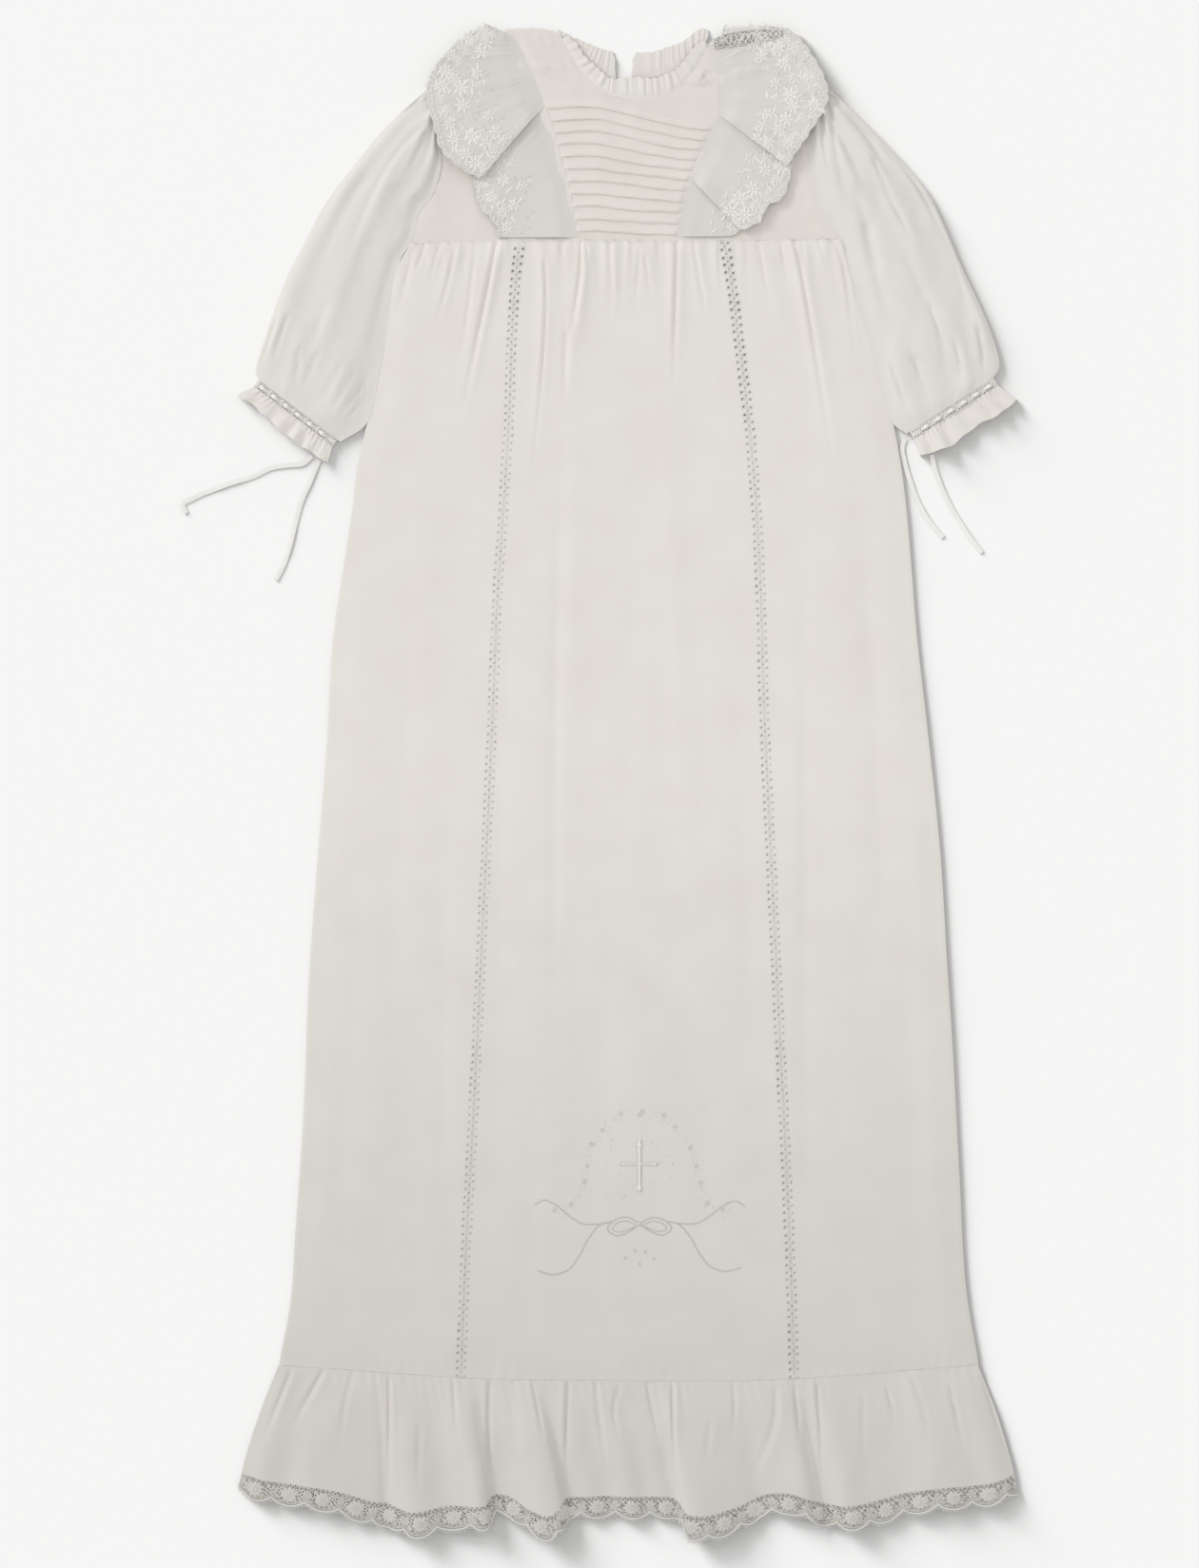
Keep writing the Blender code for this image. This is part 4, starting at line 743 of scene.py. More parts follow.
@dataclass
class Ground:
    """A cloth surface that stitches and trims lie on, as a function of two parameters."""

    surface: Surface
    step: tuple[float, float] = (0.2, 0.2)

    def read(self, a: Array, b: Array) -> tuple[Array, Array, Array, Array]:
        """Points, normals and the two rates of change at places of the surface.

        Each rate is the difference of the surface over a small step to both sides. The normal is their
        cross product, turned upwards.

        Args:
            a: Places along the first parameter.
            b: Places along the second one.

        Returns:
            Points, normals, and the rates along the first and the second parameter.
        """
        da, db = self.step
        rate_a = (self.surface(a + da, b) - self.surface(a - da, b)) / (2 * da)
        rate_b = (self.surface(a, b + db) - self.surface(a, b - db)) / (2 * db)
        normal = unit(np.cross(rate_a, rate_b))
        normal *= np.where(normal[..., 2:] < 0, -1, 1)
        return self.surface(a, b), normal, rate_a, rate_b

    def drape(
        self, stitch: Form, places: Numbers, turn: Numbers, size: Numbers, lift: float = 0.0
    ) -> Form:
        """Copies of a small form laid on the surface.

        A copy is turned and sized in millimetres on the cloth, and then each of its points is read from the
        surface and moved out along the normal by its own height.

        Args:
            stitch: The form, in a plane of millimetres with its height as the third number.
            places: The two parameters of each copy's origin.
            turn: The angle of all copies or of each, from the first parameter's direction to the second's.
            size: The length, width and height of all copies or of each one.
            lift: How far all copies are moved out.

        Returns:
            All the copies as one form.
        """
        places = np.asarray(places, float)
        turn = np.broadcast_to(np.asarray(turn, float), len(places))
        size = np.broadcast_to(np.asarray(size, float), (len(places), 3))
        local = stitch.points[None] * size[:, None]
        cos, sin = np.cos(turn)[:, None], np.sin(turn)[:, None]
        x = local[..., 0] * cos - local[..., 1] * sin
        y = local[..., 0] * sin + local[..., 1] * cos
        _, _, rate_a, rate_b = self.read(places[:, 0], places[:, 1])
        length_a = np.linalg.norm(rate_a, axis=1)
        first = rate_a / length_a[:, None]
        skew = np.einsum("ij,ij->i", rate_b, first)
        height = np.linalg.norm(rate_b - skew[:, None] * first, axis=1)
        db = y / height[:, None]
        da = (x - db * skew[:, None]) / length_a[:, None]
        points, normals, _, _ = self.read(places[:, :1] + da, places[:, 1:] + db)
        points = points + normals * (local[..., 2:] + lift)
        shift = (np.arange(len(places)) * len(stitch.points))[:, None, None]
        faces = stitch.quads, stitch.tris
        quads, tris = ((corners[None] + shift).reshape(-1, corners.shape[1]) for corners in faces)
        plan = np.broadcast_to(stitch.points[None, :, :2], (len(places), len(stitch.points), 2))
        return Form(points.reshape(-1, 3), quads, tris, plan.reshape(-1, 2))

    def strand(self, a: Array, b: Array, width: float, height: float, lift: float = 0.0) -> Form:
        """Threads or tapes laid on the surface along one path, or along each row of several.

        The section is a low roof: two feet, a ridge between them and a point under it.

        Args:
            a: The first parameter along each path, paths by points.
            b: The second parameter along each path.
            width: The section's width.
            height: The section's height.
            lift: How far the section is moved out.

        Returns:
            The threads as one closed form.
        """
        a, b = (np.atleast_2d(value) for value in np.broadcast_arrays(a, b))
        points, normals, _, _ = self.read(a, b)
        return threads(points + normals * lift, normals, width, height)


def threads(paths: Array, normals: Array, width: float | Array, height: float | Array) -> Form:
    """Threads with a roof-shaped section along paths, closed at both ends.

    Args:
        paths: Points of each path, paths by points by 3.
        normals: The direction away from the cloth at each point.
        width: The width of the section, for all or for each point.
        height: The height of its ridge over its feet.

    Returns:
        The threads as one form.
    """
    count, length = paths.shape[:2]
    side = unit(np.cross(normals, np.gradient(paths, axis=1)))
    width, height = (np.broadcast_to(value, (count, length))[..., None] for value in (width, height))
    ring = [paths - side * width / 2, paths + normals * height]
    ring += [paths + side * width / 2, paths - normals * height * 0.4]
    points = np.stack(ring, 2).reshape(-1, 3)
    one = grid_quads(length, 4, ring=True)
    caps = np.array([[3, 2, 1, 0], np.arange(4) + 4 * (length - 1)])
    one = np.concatenate([one[:, ::-1], caps[:, ::-1]])
    shift = (np.arange(count) * length * 4)[:, None, None]
    quads = (one[None] + shift).reshape(-1, 4)
    run = np.cumsum(np.linalg.norm(np.diff(paths, axis=1, prepend=paths[:, :1]), axis=-1), axis=1)
    plan = stacked(run[..., None], np.arange(4.0) * 0.5).reshape(-1, 2)
    return Form(points, quads, plan=plan).outwards()


class Stitch(Enum):
    """The small raised forms that embroidery and lace are made from."""

    LEAF = "leaf"
    GRAIN = "grain"
    KNOT = "knot"
    RING = "ring"

    def form(self) -> Form:
        """The form at a length, width and height of 1.

        A leaf is an almond whose width follows the sine of its length, domed across. A grain is a shorter
        one. A knot is a low dome, and a ring is a torus.

        Returns:
            The closed form.
        """
        if self is Stitch.RING:
            turn = np.linspace(0, 2 * np.pi, 9)[:-1]
            tube = np.linspace(0, 2 * np.pi, 4)[:-1]
            reach = 0.5 + 0.16 * np.cos(tube)[None, :]
            x, y = reach * np.cos(turn)[:, None], reach * np.sin(turn)[:, None]
            points = stacked(x, y, 0.5 * np.sin(tube)[None, :])
            quads = grid_quads(9, 3, ring=True) % 24
            return Form(points.reshape(-1, 3), quads).outwards()
        if self is Stitch.KNOT:
            turn = np.linspace(0, 2 * np.pi, 7)[:-1]
            low = stacked(0.5 * np.cos(turn), 0.5 * np.sin(turn), -0.1)
            high = stacked(0.32 * np.cos(turn), 0.32 * np.sin(turn), 0.8)
            points = np.concatenate([low, high, [(0, 0, 1.0), (0, 0, -0.1)]])
            i = np.arange(6)
            tris = np.concatenate([stacked(i + 6, (i + 1) % 6 + 6, 12), stacked((i + 1) % 6, i, 13)])
            return Form(points, grid_quads(2, 6, ring=True), tris).outwards()
        t = np.array([0.0, 0.12, 0.35, 0.65, 0.9, 1.0] if self is Stitch.LEAF else [0.0, 0.3, 0.7, 1.0])
        half = 0.5 * np.maximum(np.sin(np.pi * t ** 0.85) ** 0.8, 0.06)
        across = np.array([-1.0, 0, 1])
        x = np.broadcast_to(0.1 + 0.9 * t[:, None] if self is Stitch.LEAF else t[:, None], (len(t), 3))
        face = stacked(x, half[:, None] * across, np.maximum(2 * half[:, None], 0.1) * (1 - across**2) + 0.02)
        return wall(face, face * (1, 1, 0) - (0, 0, 0.15))


def put(tree: bpy.types.NodeTree, socket: Socket, value: object) -> None:
    """Links a socket to another one or sets its value.

    Args:
        tree: The node tree.
        socket: The input that is set.
        value: Another node's output, or the value.
    """
    if isinstance(value, Socket):
        tree.links.new(value, socket)
    else:
        socket.default_value = value


class Shader:
    """A material's node tree under construction."""

    def __init__(self, name: str) -> None:
        """Starts a material with an empty Principled shader.

        Args:
            name: The material's name.
        """
        self.material = bpy.data.materials.new(name)
        self.material.use_nodes = True
        self.tree = self.material.node_tree
        self.surface = self.tree.nodes["Principled BSDF"]

    def node(self, kind: str, **inputs: object) -> bpy.types.Node:
        """A node whose sockets are set to values or linked to other sockets.

        Args:
            kind: The node's type.
            inputs: A value or an output for each socket named.

        Returns:
            The node.
        """
        made = self.tree.nodes.new(kind)
        self.join(made, **inputs)
        return made

    def join(self, made: bpy.types.Node, **inputs: object) -> None:
        """Sets or links sockets of a node, named with underscores for spaces."""
        for key, value in inputs.items():
            put(self.tree, made.inputs[key.replace("_", " ")], value)

    def group(self, tree: bpy.types.NodeTree, **inputs: object) -> bpy.types.Node:
        """A shared node group with its sockets set or linked.

        Args:
            tree: The group's tree.
            inputs: A value or an output for each socket named.

        Returns:
            The node of the group.
        """
        made = self.tree.nodes.new("ShaderNodeGroup")
        made.node_tree = tree
        self.join(made, **inputs)
        return made

    def blend(self, factor: object, first: object, second: object, mode: str = "MIX") -> Socket:
        """Two colours blended.

        Args:
            factor: The share of the blend, or the output that gives it.
            first: The first colour or the output that gives it.
            second: The second one.
            mode: How they are blended.

        Returns:
            The output with the blended colour.
        """
        node = self.node("ShaderNodeMix", Factor=factor)
        node.data_type = "RGBA"
        node.blend_type = mode
        for socket, value in zip(node.inputs[6:8], (first, second)):
            put(self.tree, socket, value)
        return node.outputs[2]


@dataclass
class Group:
    """A shader node group under construction."""

    name: str
    inputs: Sequence[tuple[str, str, object]]
    outputs: Sequence[tuple[str, str]]
    tree: bpy.types.NodeTree = field(init=False)

    def __post_init__(self) -> None:
        """Makes the group's sockets with their defaults, and its two end nodes."""
        self.tree = bpy.data.node_groups.new(self.name, "ShaderNodeTree")
        for name, kind, default in self.inputs:
            socket = self.tree.interface.new_socket(name, in_out="INPUT", socket_type=kind)
            if default is not None:
                socket.default_value = default
        for name, kind in self.outputs:
            self.tree.interface.new_socket(name, in_out="OUTPUT", socket_type=kind)
        self.start = self.tree.nodes.new("NodeGroupInput").outputs
        self.end = self.tree.nodes.new("NodeGroupOutput").inputs

    def fill(self, sockets: Sequence[Socket], values: Sequence[object]) -> None:
        """Sets or links sockets in order."""
        for socket, value in zip(sockets, values):
            put(self.tree, socket, value)

    def maths(self, operation: str, *values: object) -> Socket:
        """The result of a Math node.

        Args:
            operation: The node's operation.
            values: Its inputs, each a value or an output.

        Returns:
            The node's output.
        """
        node = self.tree.nodes.new("ShaderNodeMath")
        node.operation = operation
        self.fill(node.inputs, values)
        return node.outputs[0]

    def scaled(self, vector: Socket, factor: Socket) -> Socket:
        """A vector times a number.

        Args:
            vector: The output with the vector.
            factor: The output with the number.

        Returns:
            The output with the product.
        """
        node = self.tree.nodes.new("ShaderNodeVectorMath")
        node.operation = "SCALE"
        self.fill([node.inputs[0], node.inputs["Scale"]], [vector, factor])
        return node.outputs[0]

    def noise(self, place: Socket, scale: float, detail: float) -> Socket:
        """The value of a noise texture.

        Args:
            place: The output with the place.
            scale: The scale of the noise.
            detail: Its number of finer layers.

        Returns:
            The output with the value.
        """
        node = self.tree.nodes.new("ShaderNodeTexNoise")
        self.fill([node.inputs[name] for name in ("Vector", "Scale", "Detail")], [place, scale, detail])
        return node.outputs["Fac"]

    def parts(self, vector: Socket) -> Sequence[Socket]:
        """The three numbers of a vector.

        Args:
            vector: The output with the vector.

        Returns:
            The three outputs.
        """
        node = self.tree.nodes.new("ShaderNodeSeparateXYZ")
        self.tree.links.new(vector, node.inputs[0])
        return node.outputs


def weave_group() -> bpy.types.NodeTree:
    """A plain weave: threads over and under each other, with slubs.

    The height is the product of the sines of the two directions, taken on a plan that a noise shifts a
    little, and the tone is a larger noise.

    Returns:
        The group's tree, with the outputs Height and Tone.
    """
    group = Group(
        "Weave",
        [
            ("Plan", "NodeSocketVector", None),
            ("Pitch", "NodeSocketFloat", 0.0004),
            ("Slub", "NodeSocketFloat", 0.3),
        ],
        [("Height", "NodeSocketFloat"), ("Tone", "NodeSocketFloat")],
    )
    scaled = group.scaled(group.start["Plan"], group.maths("DIVIDE", float(np.pi), group.start["Pitch"]))
    slub = group.noise(scaled, 0.11, 2.0)
    x, y, _ = group.parts(scaled)
    warp = group.maths("SINE", group.maths("MULTIPLY_ADD", slub, group.start["Slub"], x))
    weft = group.maths("SINE", y)
    group.tree.links.new(group.maths("MULTIPLY", warp, weft), group.end["Height"])
    group.tree.links.new(group.noise(group.start["Plan"], 28.0, 3.0), group.end["Tone"])
    return group.tree


def net_group() -> bpy.types.NodeTree:
    """A fine hexagonal-looking net: 1 on the threads and 0 in the openings.

    Three sets of waves at 60 degrees are added, and the threads lie where the sum is low.

    Returns:
        The group's tree, with the output Mask.
    """
    group = Group(
        "Net",
        [
            ("Plan", "NodeSocketVector", None),
            ("Pitch", "NodeSocketFloat", 0.0014),
            ("Thread", "NodeSocketFloat", 0.45),
        ],
        [("Mask", "NodeSocketFloat")],
    )
    scaled = group.scaled(group.start["Plan"], group.maths("DIVIDE", 2 * float(np.pi), group.start["Pitch"]))
    x, y, _ = group.parts(scaled)
    total = group.maths("COSINE", x)
    for sign in (-0.5, 0.5):
        turned = group.maths("MULTIPLY_ADD", y, SIN_60, group.maths("MULTIPLY", x, sign))
        total = group.maths("ADD", total, group.maths("COSINE", turned))
    level = group.maths("MULTIPLY_ADD", group.start["Thread"], 3.0, -1.5)
    group.tree.links.new(group.maths("LESS_THAN", total, level), group.end["Mask"])
    return group.tree


@dataclass(frozen=True)
class Finish:
    """The look of one cloth or thread."""

    name: str
    colour: tuple[float, float, float]
    shade: tuple[float, float, float]
    roughness: float
    sheen: float = 0.0
    pitch: float = 0.00042
    bump: float = 0.25
    specular: float = 0.3
    net: float = 0.0
    aniso: float = 0.0

    def make(self, weave: bpy.types.NodeTree, net: bpy.types.NodeTree) -> bpy.types.Material:
        """The material: a woven bump, and a colour that drifts with a soft noise between the two tones.

        Towards the hem the colour is darker: painted shade, a light falloff from the neck to the hem.

        Args:
            weave: The group of the weave.
            net: The group of the net, whose openings are clear.

        Returns:
            The material.
        """
        shader = Shader(self.name)
        plan = shader.node("ShaderNodeUVMap").outputs["UV"]
        woven = shader.group(weave, Plan=plan, Pitch=self.pitch)
        tone = shader.node("ShaderNodeMapRange", Value=woven.outputs["Tone"], From_Min=0.3, From_Max=0.7)
        coordinates = shader.node("ShaderNodeTexCoord")
        place = shader.node("ShaderNodeSeparateXYZ", Vector=coordinates.outputs["Object"])
        # Painted shade: foot darkens the colour from the yoke down to the hem, where the light falls off.
        low, high = PAINTED_SHADE_FADE
        fall = shader.node("ShaderNodeMapRange", Value=place.outputs["Y"], From_Min=low, From_Max=high)
        foot = shader.blend(fall.outputs[0], (PAINTED_HEM_SHADE, PAINTED_HEM_SHADE, PAINTED_HEM_SHADE, 1), (1, 1, 1, 1))
        cloud = shader.blend(tone.outputs[0], (*self.shade, 1), (*self.colour, 1))
        colour = shader.blend(1.0, cloud, foot, "MULTIPLY")
        height, depth = woven.outputs["Height"], self.pitch / 3
        bump = shader.node("ShaderNodeBump", Height=height, Strength=self.bump, Distance=depth)
        shader.join(
            shader.surface,
            Base_Color=colour,
            Normal=bump.outputs[0],
            Roughness=self.roughness,
            Sheen_Weight=self.sheen,
            Sheen_Roughness=0.5,
            Specular_IOR_Level=self.specular,
            Anisotropic=self.aniso,
        )
        if self.net:
            mask = shader.group(net, Plan=plan, Pitch=self.net, Thread=0.6)
            shader.join(shader.surface, Alpha=mask.outputs["Mask"])
        return shader.material


class Cloth(Enum):
    """The finishes of the gown's pieces."""

    BATISTE = Finish("cotton_batiste", (0.835, 0.805, 0.762), (0.805, 0.775, 0.727), 0.9, sheen=0.1)
    UNDER = Finish("cotton_batiste_back", (0.81, 0.78, 0.735), (0.78, 0.75, 0.70), 0.9, sheen=0.1)
    SHEER = Finish("sheer_batiste", (0.75, 0.73, 0.695), (0.71, 0.69, 0.653), 0.9, sheen=0.1)
    YOKE = Finish("yoke_batiste", (0.812, 0.775, 0.729), (0.782, 0.745, 0.695), 0.9, sheen=0.1)
    SLEEVE = Finish("sleeve_batiste", (0.797, 0.773, 0.739), (0.767, 0.742, 0.704), 0.9, sheen=0.1)
    LACE = Finish("lace_thread", (0.85, 0.827, 0.782), (0.82, 0.797, 0.752), 0.85, pitch=0.0005, bump=0.4)
    MOTIF = Finish("lace_motif", (0.80, 0.778, 0.73), (0.76, 0.738, 0.69), 0.85, pitch=0.0005, bump=0.4)
    PALE = Finish("pale_stitch", (0.825, 0.796, 0.753), (0.79, 0.76, 0.714), 0.85, pitch=0.0005, bump=0.3)
    SEAM = Finish("seam_stitch", (0.75, 0.725, 0.685), (0.69, 0.665, 0.625), 0.8, pitch=0.0005, bump=0.3)
    STEM = Finish("stem_stitch", (0.765, 0.742, 0.70), (0.725, 0.702, 0.66), 0.7, pitch=0.0005, bump=0.3)
    GROUND = Finish("lace_net", (0.83, 0.806, 0.758), (0.775, 0.752, 0.705), 0.9, net=0.0017, bump=0.2)
    FLOSS = Finish(
        "white_floss", (0.885, 0.87, 0.838), (0.855, 0.84, 0.805),
        0.55, sheen=0.1, pitch=0.0003, bump=0.5,
    )
    # Painted shade: a dark colour for discs that stand in for the shadow seen through the openings of the
    # lace.
    SHADE = Finish("lace_opening_painted_shade", (0.24, 0.23, 0.21), (0.20, 0.19, 0.17), 0.9, bump=0.3)
    # Painted shade: a dark colour for the hem lace's openings and for the underside of the strip turned over
    # the shoulder.
    TURNED_SHADE = Finish("openwork_painted_shade", (0.42, 0.40, 0.375), (0.33, 0.315, 0.295), 0.9, bump=0.4)
    STITCH = Finish(
        "embroidery_thread", (0.92, 0.905, 0.87), (0.89, 0.875, 0.84),
        0.5, sheen=0.1, pitch=0.0003, bump=0.5,
    )
    SATIN = Finish(
        "satin_ribbon", (0.94, 0.935, 0.92), (0.85, 0.842, 0.82),
        0.38, pitch=0.00025, bump=0.15, specular=0.5, aniso=0.5,
    )


class Wardrobe:
    """Makes the pieces of the gown as objects and gives them their finishes."""

    def __init__(self) -> None:
        """Makes the shared node groups and materials."""
        weave, net = weave_group(), net_group()
        self.materials = {cloth: cloth.value.make(weave, net) for cloth in Cloth}
        self.folder = bpy.data.collections.new("christening_gown_looks")
        bpy.context.scene.collection.children.link(self.folder)

    def add(
        self, name: str, form: Form, finish: Cloth, slot: str = "cotton_batiste", node: str | None = None
    ) -> bpy.types.Object:
        """A mesh object from a form, with its plan as a UV map in metres.

        Args:
            name: The piece's name.
            form: Its points, faces and plan.
            finish: Its cloth.
            slot: The name of a material slot; not used.
            node: The solid it stands for, if any.

        Returns:
            The object.
        """
        mesh = bpy.data.meshes.new(name)
        corners = np.concatenate([form.quads.ravel(), form.tris.ravel()]).astype(np.int32)
        sizes = np.repeat((4, 3), (len(form.quads), len(form.tris)))
        mesh.vertices.add(len(form.points))
        mesh.vertices.foreach_set("co", (form.points * MM).astype(np.float32).ravel())
        mesh.loops.add(len(corners))
        mesh.loops.foreach_set("vertex_index", corners)
        mesh.polygons.add(len(sizes))
        starts = np.cumsum(sizes) - sizes
        mesh.polygons.foreach_set("loop_start", starts.astype(np.int32))
        mesh.update(calc_edges=True)
        plan = form.plan if form.plan is not None else form.points[:, :2]
        layer = mesh.uv_layers.new(name="Plan")
        layer.data.foreach_set("uv", (plan[corners] * MM).astype(np.float32).ravel())
        mesh.shade_smooth()
        if node:
            mesh.set_sharp_from_angle(angle=SHARP_ANGLE)
        mesh.validate()
        mesh.materials.append(self.materials[finish])
        made = bpy.data.objects.new(f"{name}_cloth" if node else name, mesh)
        self.folder.objects.link(made)
        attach(made, "root")
        if node:
            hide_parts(node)
        LOG.info("%s: %d faces", name, len(sizes))
        return made


def side_x(side: str, y: Array) -> Array:
    """The edge of the body at a height of the plan."""
    return through(y, SIDE[side]["y"], SIDE[side]["x"])


def flounce_seam_x(side: str, y: Array) -> Array:
    """The seam between the tucked centre of the yoke and its side."""
    return through(y, FLOUNCE_SEAM[side]["y"], FLOUNCE_SEAM[side]["x"])


def yoke_seam_y(x: Array) -> Array:
    """The seam between yoke and skirt."""
    return through(x, YOKE_SEAM["x"], YOKE_SEAM["y"])


def hem_seam_y(x: Array) -> Array:
    """The seam between skirt and hem ruffle."""
    return through(x, HEM_SEAM["x"], HEM_SEAM["y"])


def refined(rows: Table, steps: int) -> Table:
    """A table read at this many steps between its rows, with a smooth curve through each column.

    Args:
        rows: The table.
        steps: The number of steps between two rows.

    Returns:
        The table with more rows.
    """
    keys = np.arange(len(next(iter(rows.values()))), dtype=float)
    at = np.linspace(0, keys[-1], int(keys[-1]) * steps + 1)
    return {name: through(at, keys, column) for name, column in rows.items()}


@dataclass
class Skirt:
    """The front skirt, three panels of batiste joined by two strips of insertion lace, and the back."""

    wardrobe: Wardrobe
    top_y: float = 342.0
    foot_y: float = -370.0
    back_top_y: float = 339.0
    loft: float = 0.9
    side_fall: float = 18.0
    strip_width: float = 7.0
    rows: int = 136

    def line(self, number: int, y: Array) -> Array:
        """The lines that divide the front, numbered from the right side seam to the left one.

        Args:
            number: The line's number, 0 to 5.
            y: Heights of the plan.

        Returns:
            The place of the line along X at each height.
        """
        half = self.strip_width / 2
        if number in (0, 5):
            return side_x("right" if number == 0 else "left", y)
        strip = INSERTION["right" if number < 3 else "left"]
        return through(y, strip["y"], strip["x"]) + (-half if number in (1, 3) else half)

    def folds(self, x: Array, y: Array) -> Array:
        """The long folds of the solid: ridges that follow a bowed line and fade towards its foot.

        Args:
            x: Places along X.
            y: Places along Y.

        Returns:
            The height at each place.
        """
        total = np.zeros(np.broadcast(x, y).shape)
        for top_x, top_y, foot_x, foot_y, bow, height, width in zip(*SKIRT_FOLDS.values()):
            along = (top_y - y) / (top_y - foot_y)
            centre = mix(top_x, foot_x, along) + 4 * bow * along * (1 - along)
            fade = ease((along + 0.12) / 0.12) * (1 - ease(along))
            total += height * fade * np.exp(-(((x - centre) / width) ** 2))
        return total

    def face(self, x: Array, y: Array) -> Array:
        """Height of the front's outer side.

        It is the solid's, lowered a little, with the listed creases, fine gathers below the yoke,
        small ones above the hem seam, a soft drift, and an edge that rolls down at the side seams.

        Args:
            x: Places along X.
            y: Places along Y.

        Returns:
            The height at each place.
        """
        reach = np.minimum(x - self.line(0, y), self.line(5, y) - x)
        away = np.maximum(yoke_seam_y(x) - y, 0)
        up = np.maximum(y - hem_seam_y(x), 0)
        z = FRONT_FOOT + FACE_RISE + self.loft * ease(reach / self.side_fall) * ease(away / 9) * ease(up / 20)
        z += 0.6 * self.folds(x, y) * ease(away / 7 + 0.1)
        loose = ease(away / 30) * ease(up / 12 + 0.3)
        z += loose * 0.14 * drift(x * 2.2, y * 0.4, 90, 3) + loose * 0.06 * drift(x, y * 0.25, 21, 4)
        z += 1.25 * relief(SKIRT_CREASES, x, y) + 0.7 * relief(SKIRT_FOLDS_LONG, x, y, held=False)
        z += 0.75 * gathers(x, away, 8.5, 34, 11) + 0.28 * gathers(x + 2, away, 4.4, 13, 15)
        z += 0.3 * gathers(x, up, 9.0, 16, 19)
        roll = np.clip(1 - reach / 1.6, 0, 1)
        return np.maximum(z, FRONT_FOOT + 0.35) - 0.5 * roll**2

    def panel(self, number: int, columns: int) -> Array:
        """The grid of points of one panel's outer side, denser towards the yoke.

        Args:
            number: The line on the panel's right edge.
            columns: The number of points across.

        Returns:
            The grid, rows by columns by 3.
        """
        v = np.linspace(0, 1, self.rows)[:, None]
        v = mix(v, v**1.6, 0.6)
        level = mix(self.top_y, self.foot_y, v)
        lap = 0.4 if number in (1, 3) else 0.0
        low = self.line(number, level) + (0.2 if number == 0 else -lap)
        high = self.line(number + 1, level) - (0.2 if number == 4 else -lap)
        x = mix(low, high, np.linspace(0, 1, columns)[None])
        y = mix(yoke_seam_y(x[0]), hem_seam_y(x[-1]) - 0.2, v)
        return stacked(x, y, self.face(x, y) - 0.08 * lap)

    def build(self) -> None:
        """Makes the three panels, the two lace strips and the back."""
        for name, number, columns in (
            ("skirt_side_right", 0, 66),
            ("skirt_centre", 2, 116),
            ("skirt_side_left", 4, 66),
        ):
            grid = self.panel(number, columns)
            made = self.wardrobe.add(name, cloth(grid), Cloth.BATISTE, node=name)
        for side, number in (("right", 1), ("left", 3)):
            name = f"insertion_{side}"
            grid = self.panel(number, 5)
            made = self.wardrobe.add(name, cloth(grid), Cloth.BATISTE, "cotton_lace", node=name)
        self.build_back()

    def build_back(self) -> None:
        """Makes the back skirt, flat on the ground with soft creases on its upper side."""
        v = np.linspace(0, 1, 60)[:, None]
        y = mix(self.back_top_y, BACK_HEM_SEAM_Y + SEAM_GAP / 2, v)
        x = mix(side_x("right", y) + 0.8, side_x("left", y) - 0.8, np.linspace(0, 1, 60)[None])
        y = mix(yoke_seam_y(x[0]) - SEAM_GAP / 2, y[-1], v)
        crease = 0.16 * drift(x, y * 0.3, 34, 31) * ease((self.back_top_y - y) / 20)
        face = stacked(x, y, 0.7 + crease)
        inwards = ease(np.minimum(x - x[:, :1], x[:, -1:] - x) / 8)
        under = stacked(x, y, np.maximum(0.0, 0.12 * drift(x, y * 0.3, 27, 33) - 0.03) * inwards)
        form = wall(face, under, plan=face[..., :2])
        made = self.wardrobe.add("skirt_back", form, Cloth.UNDER, node="skirt_back")


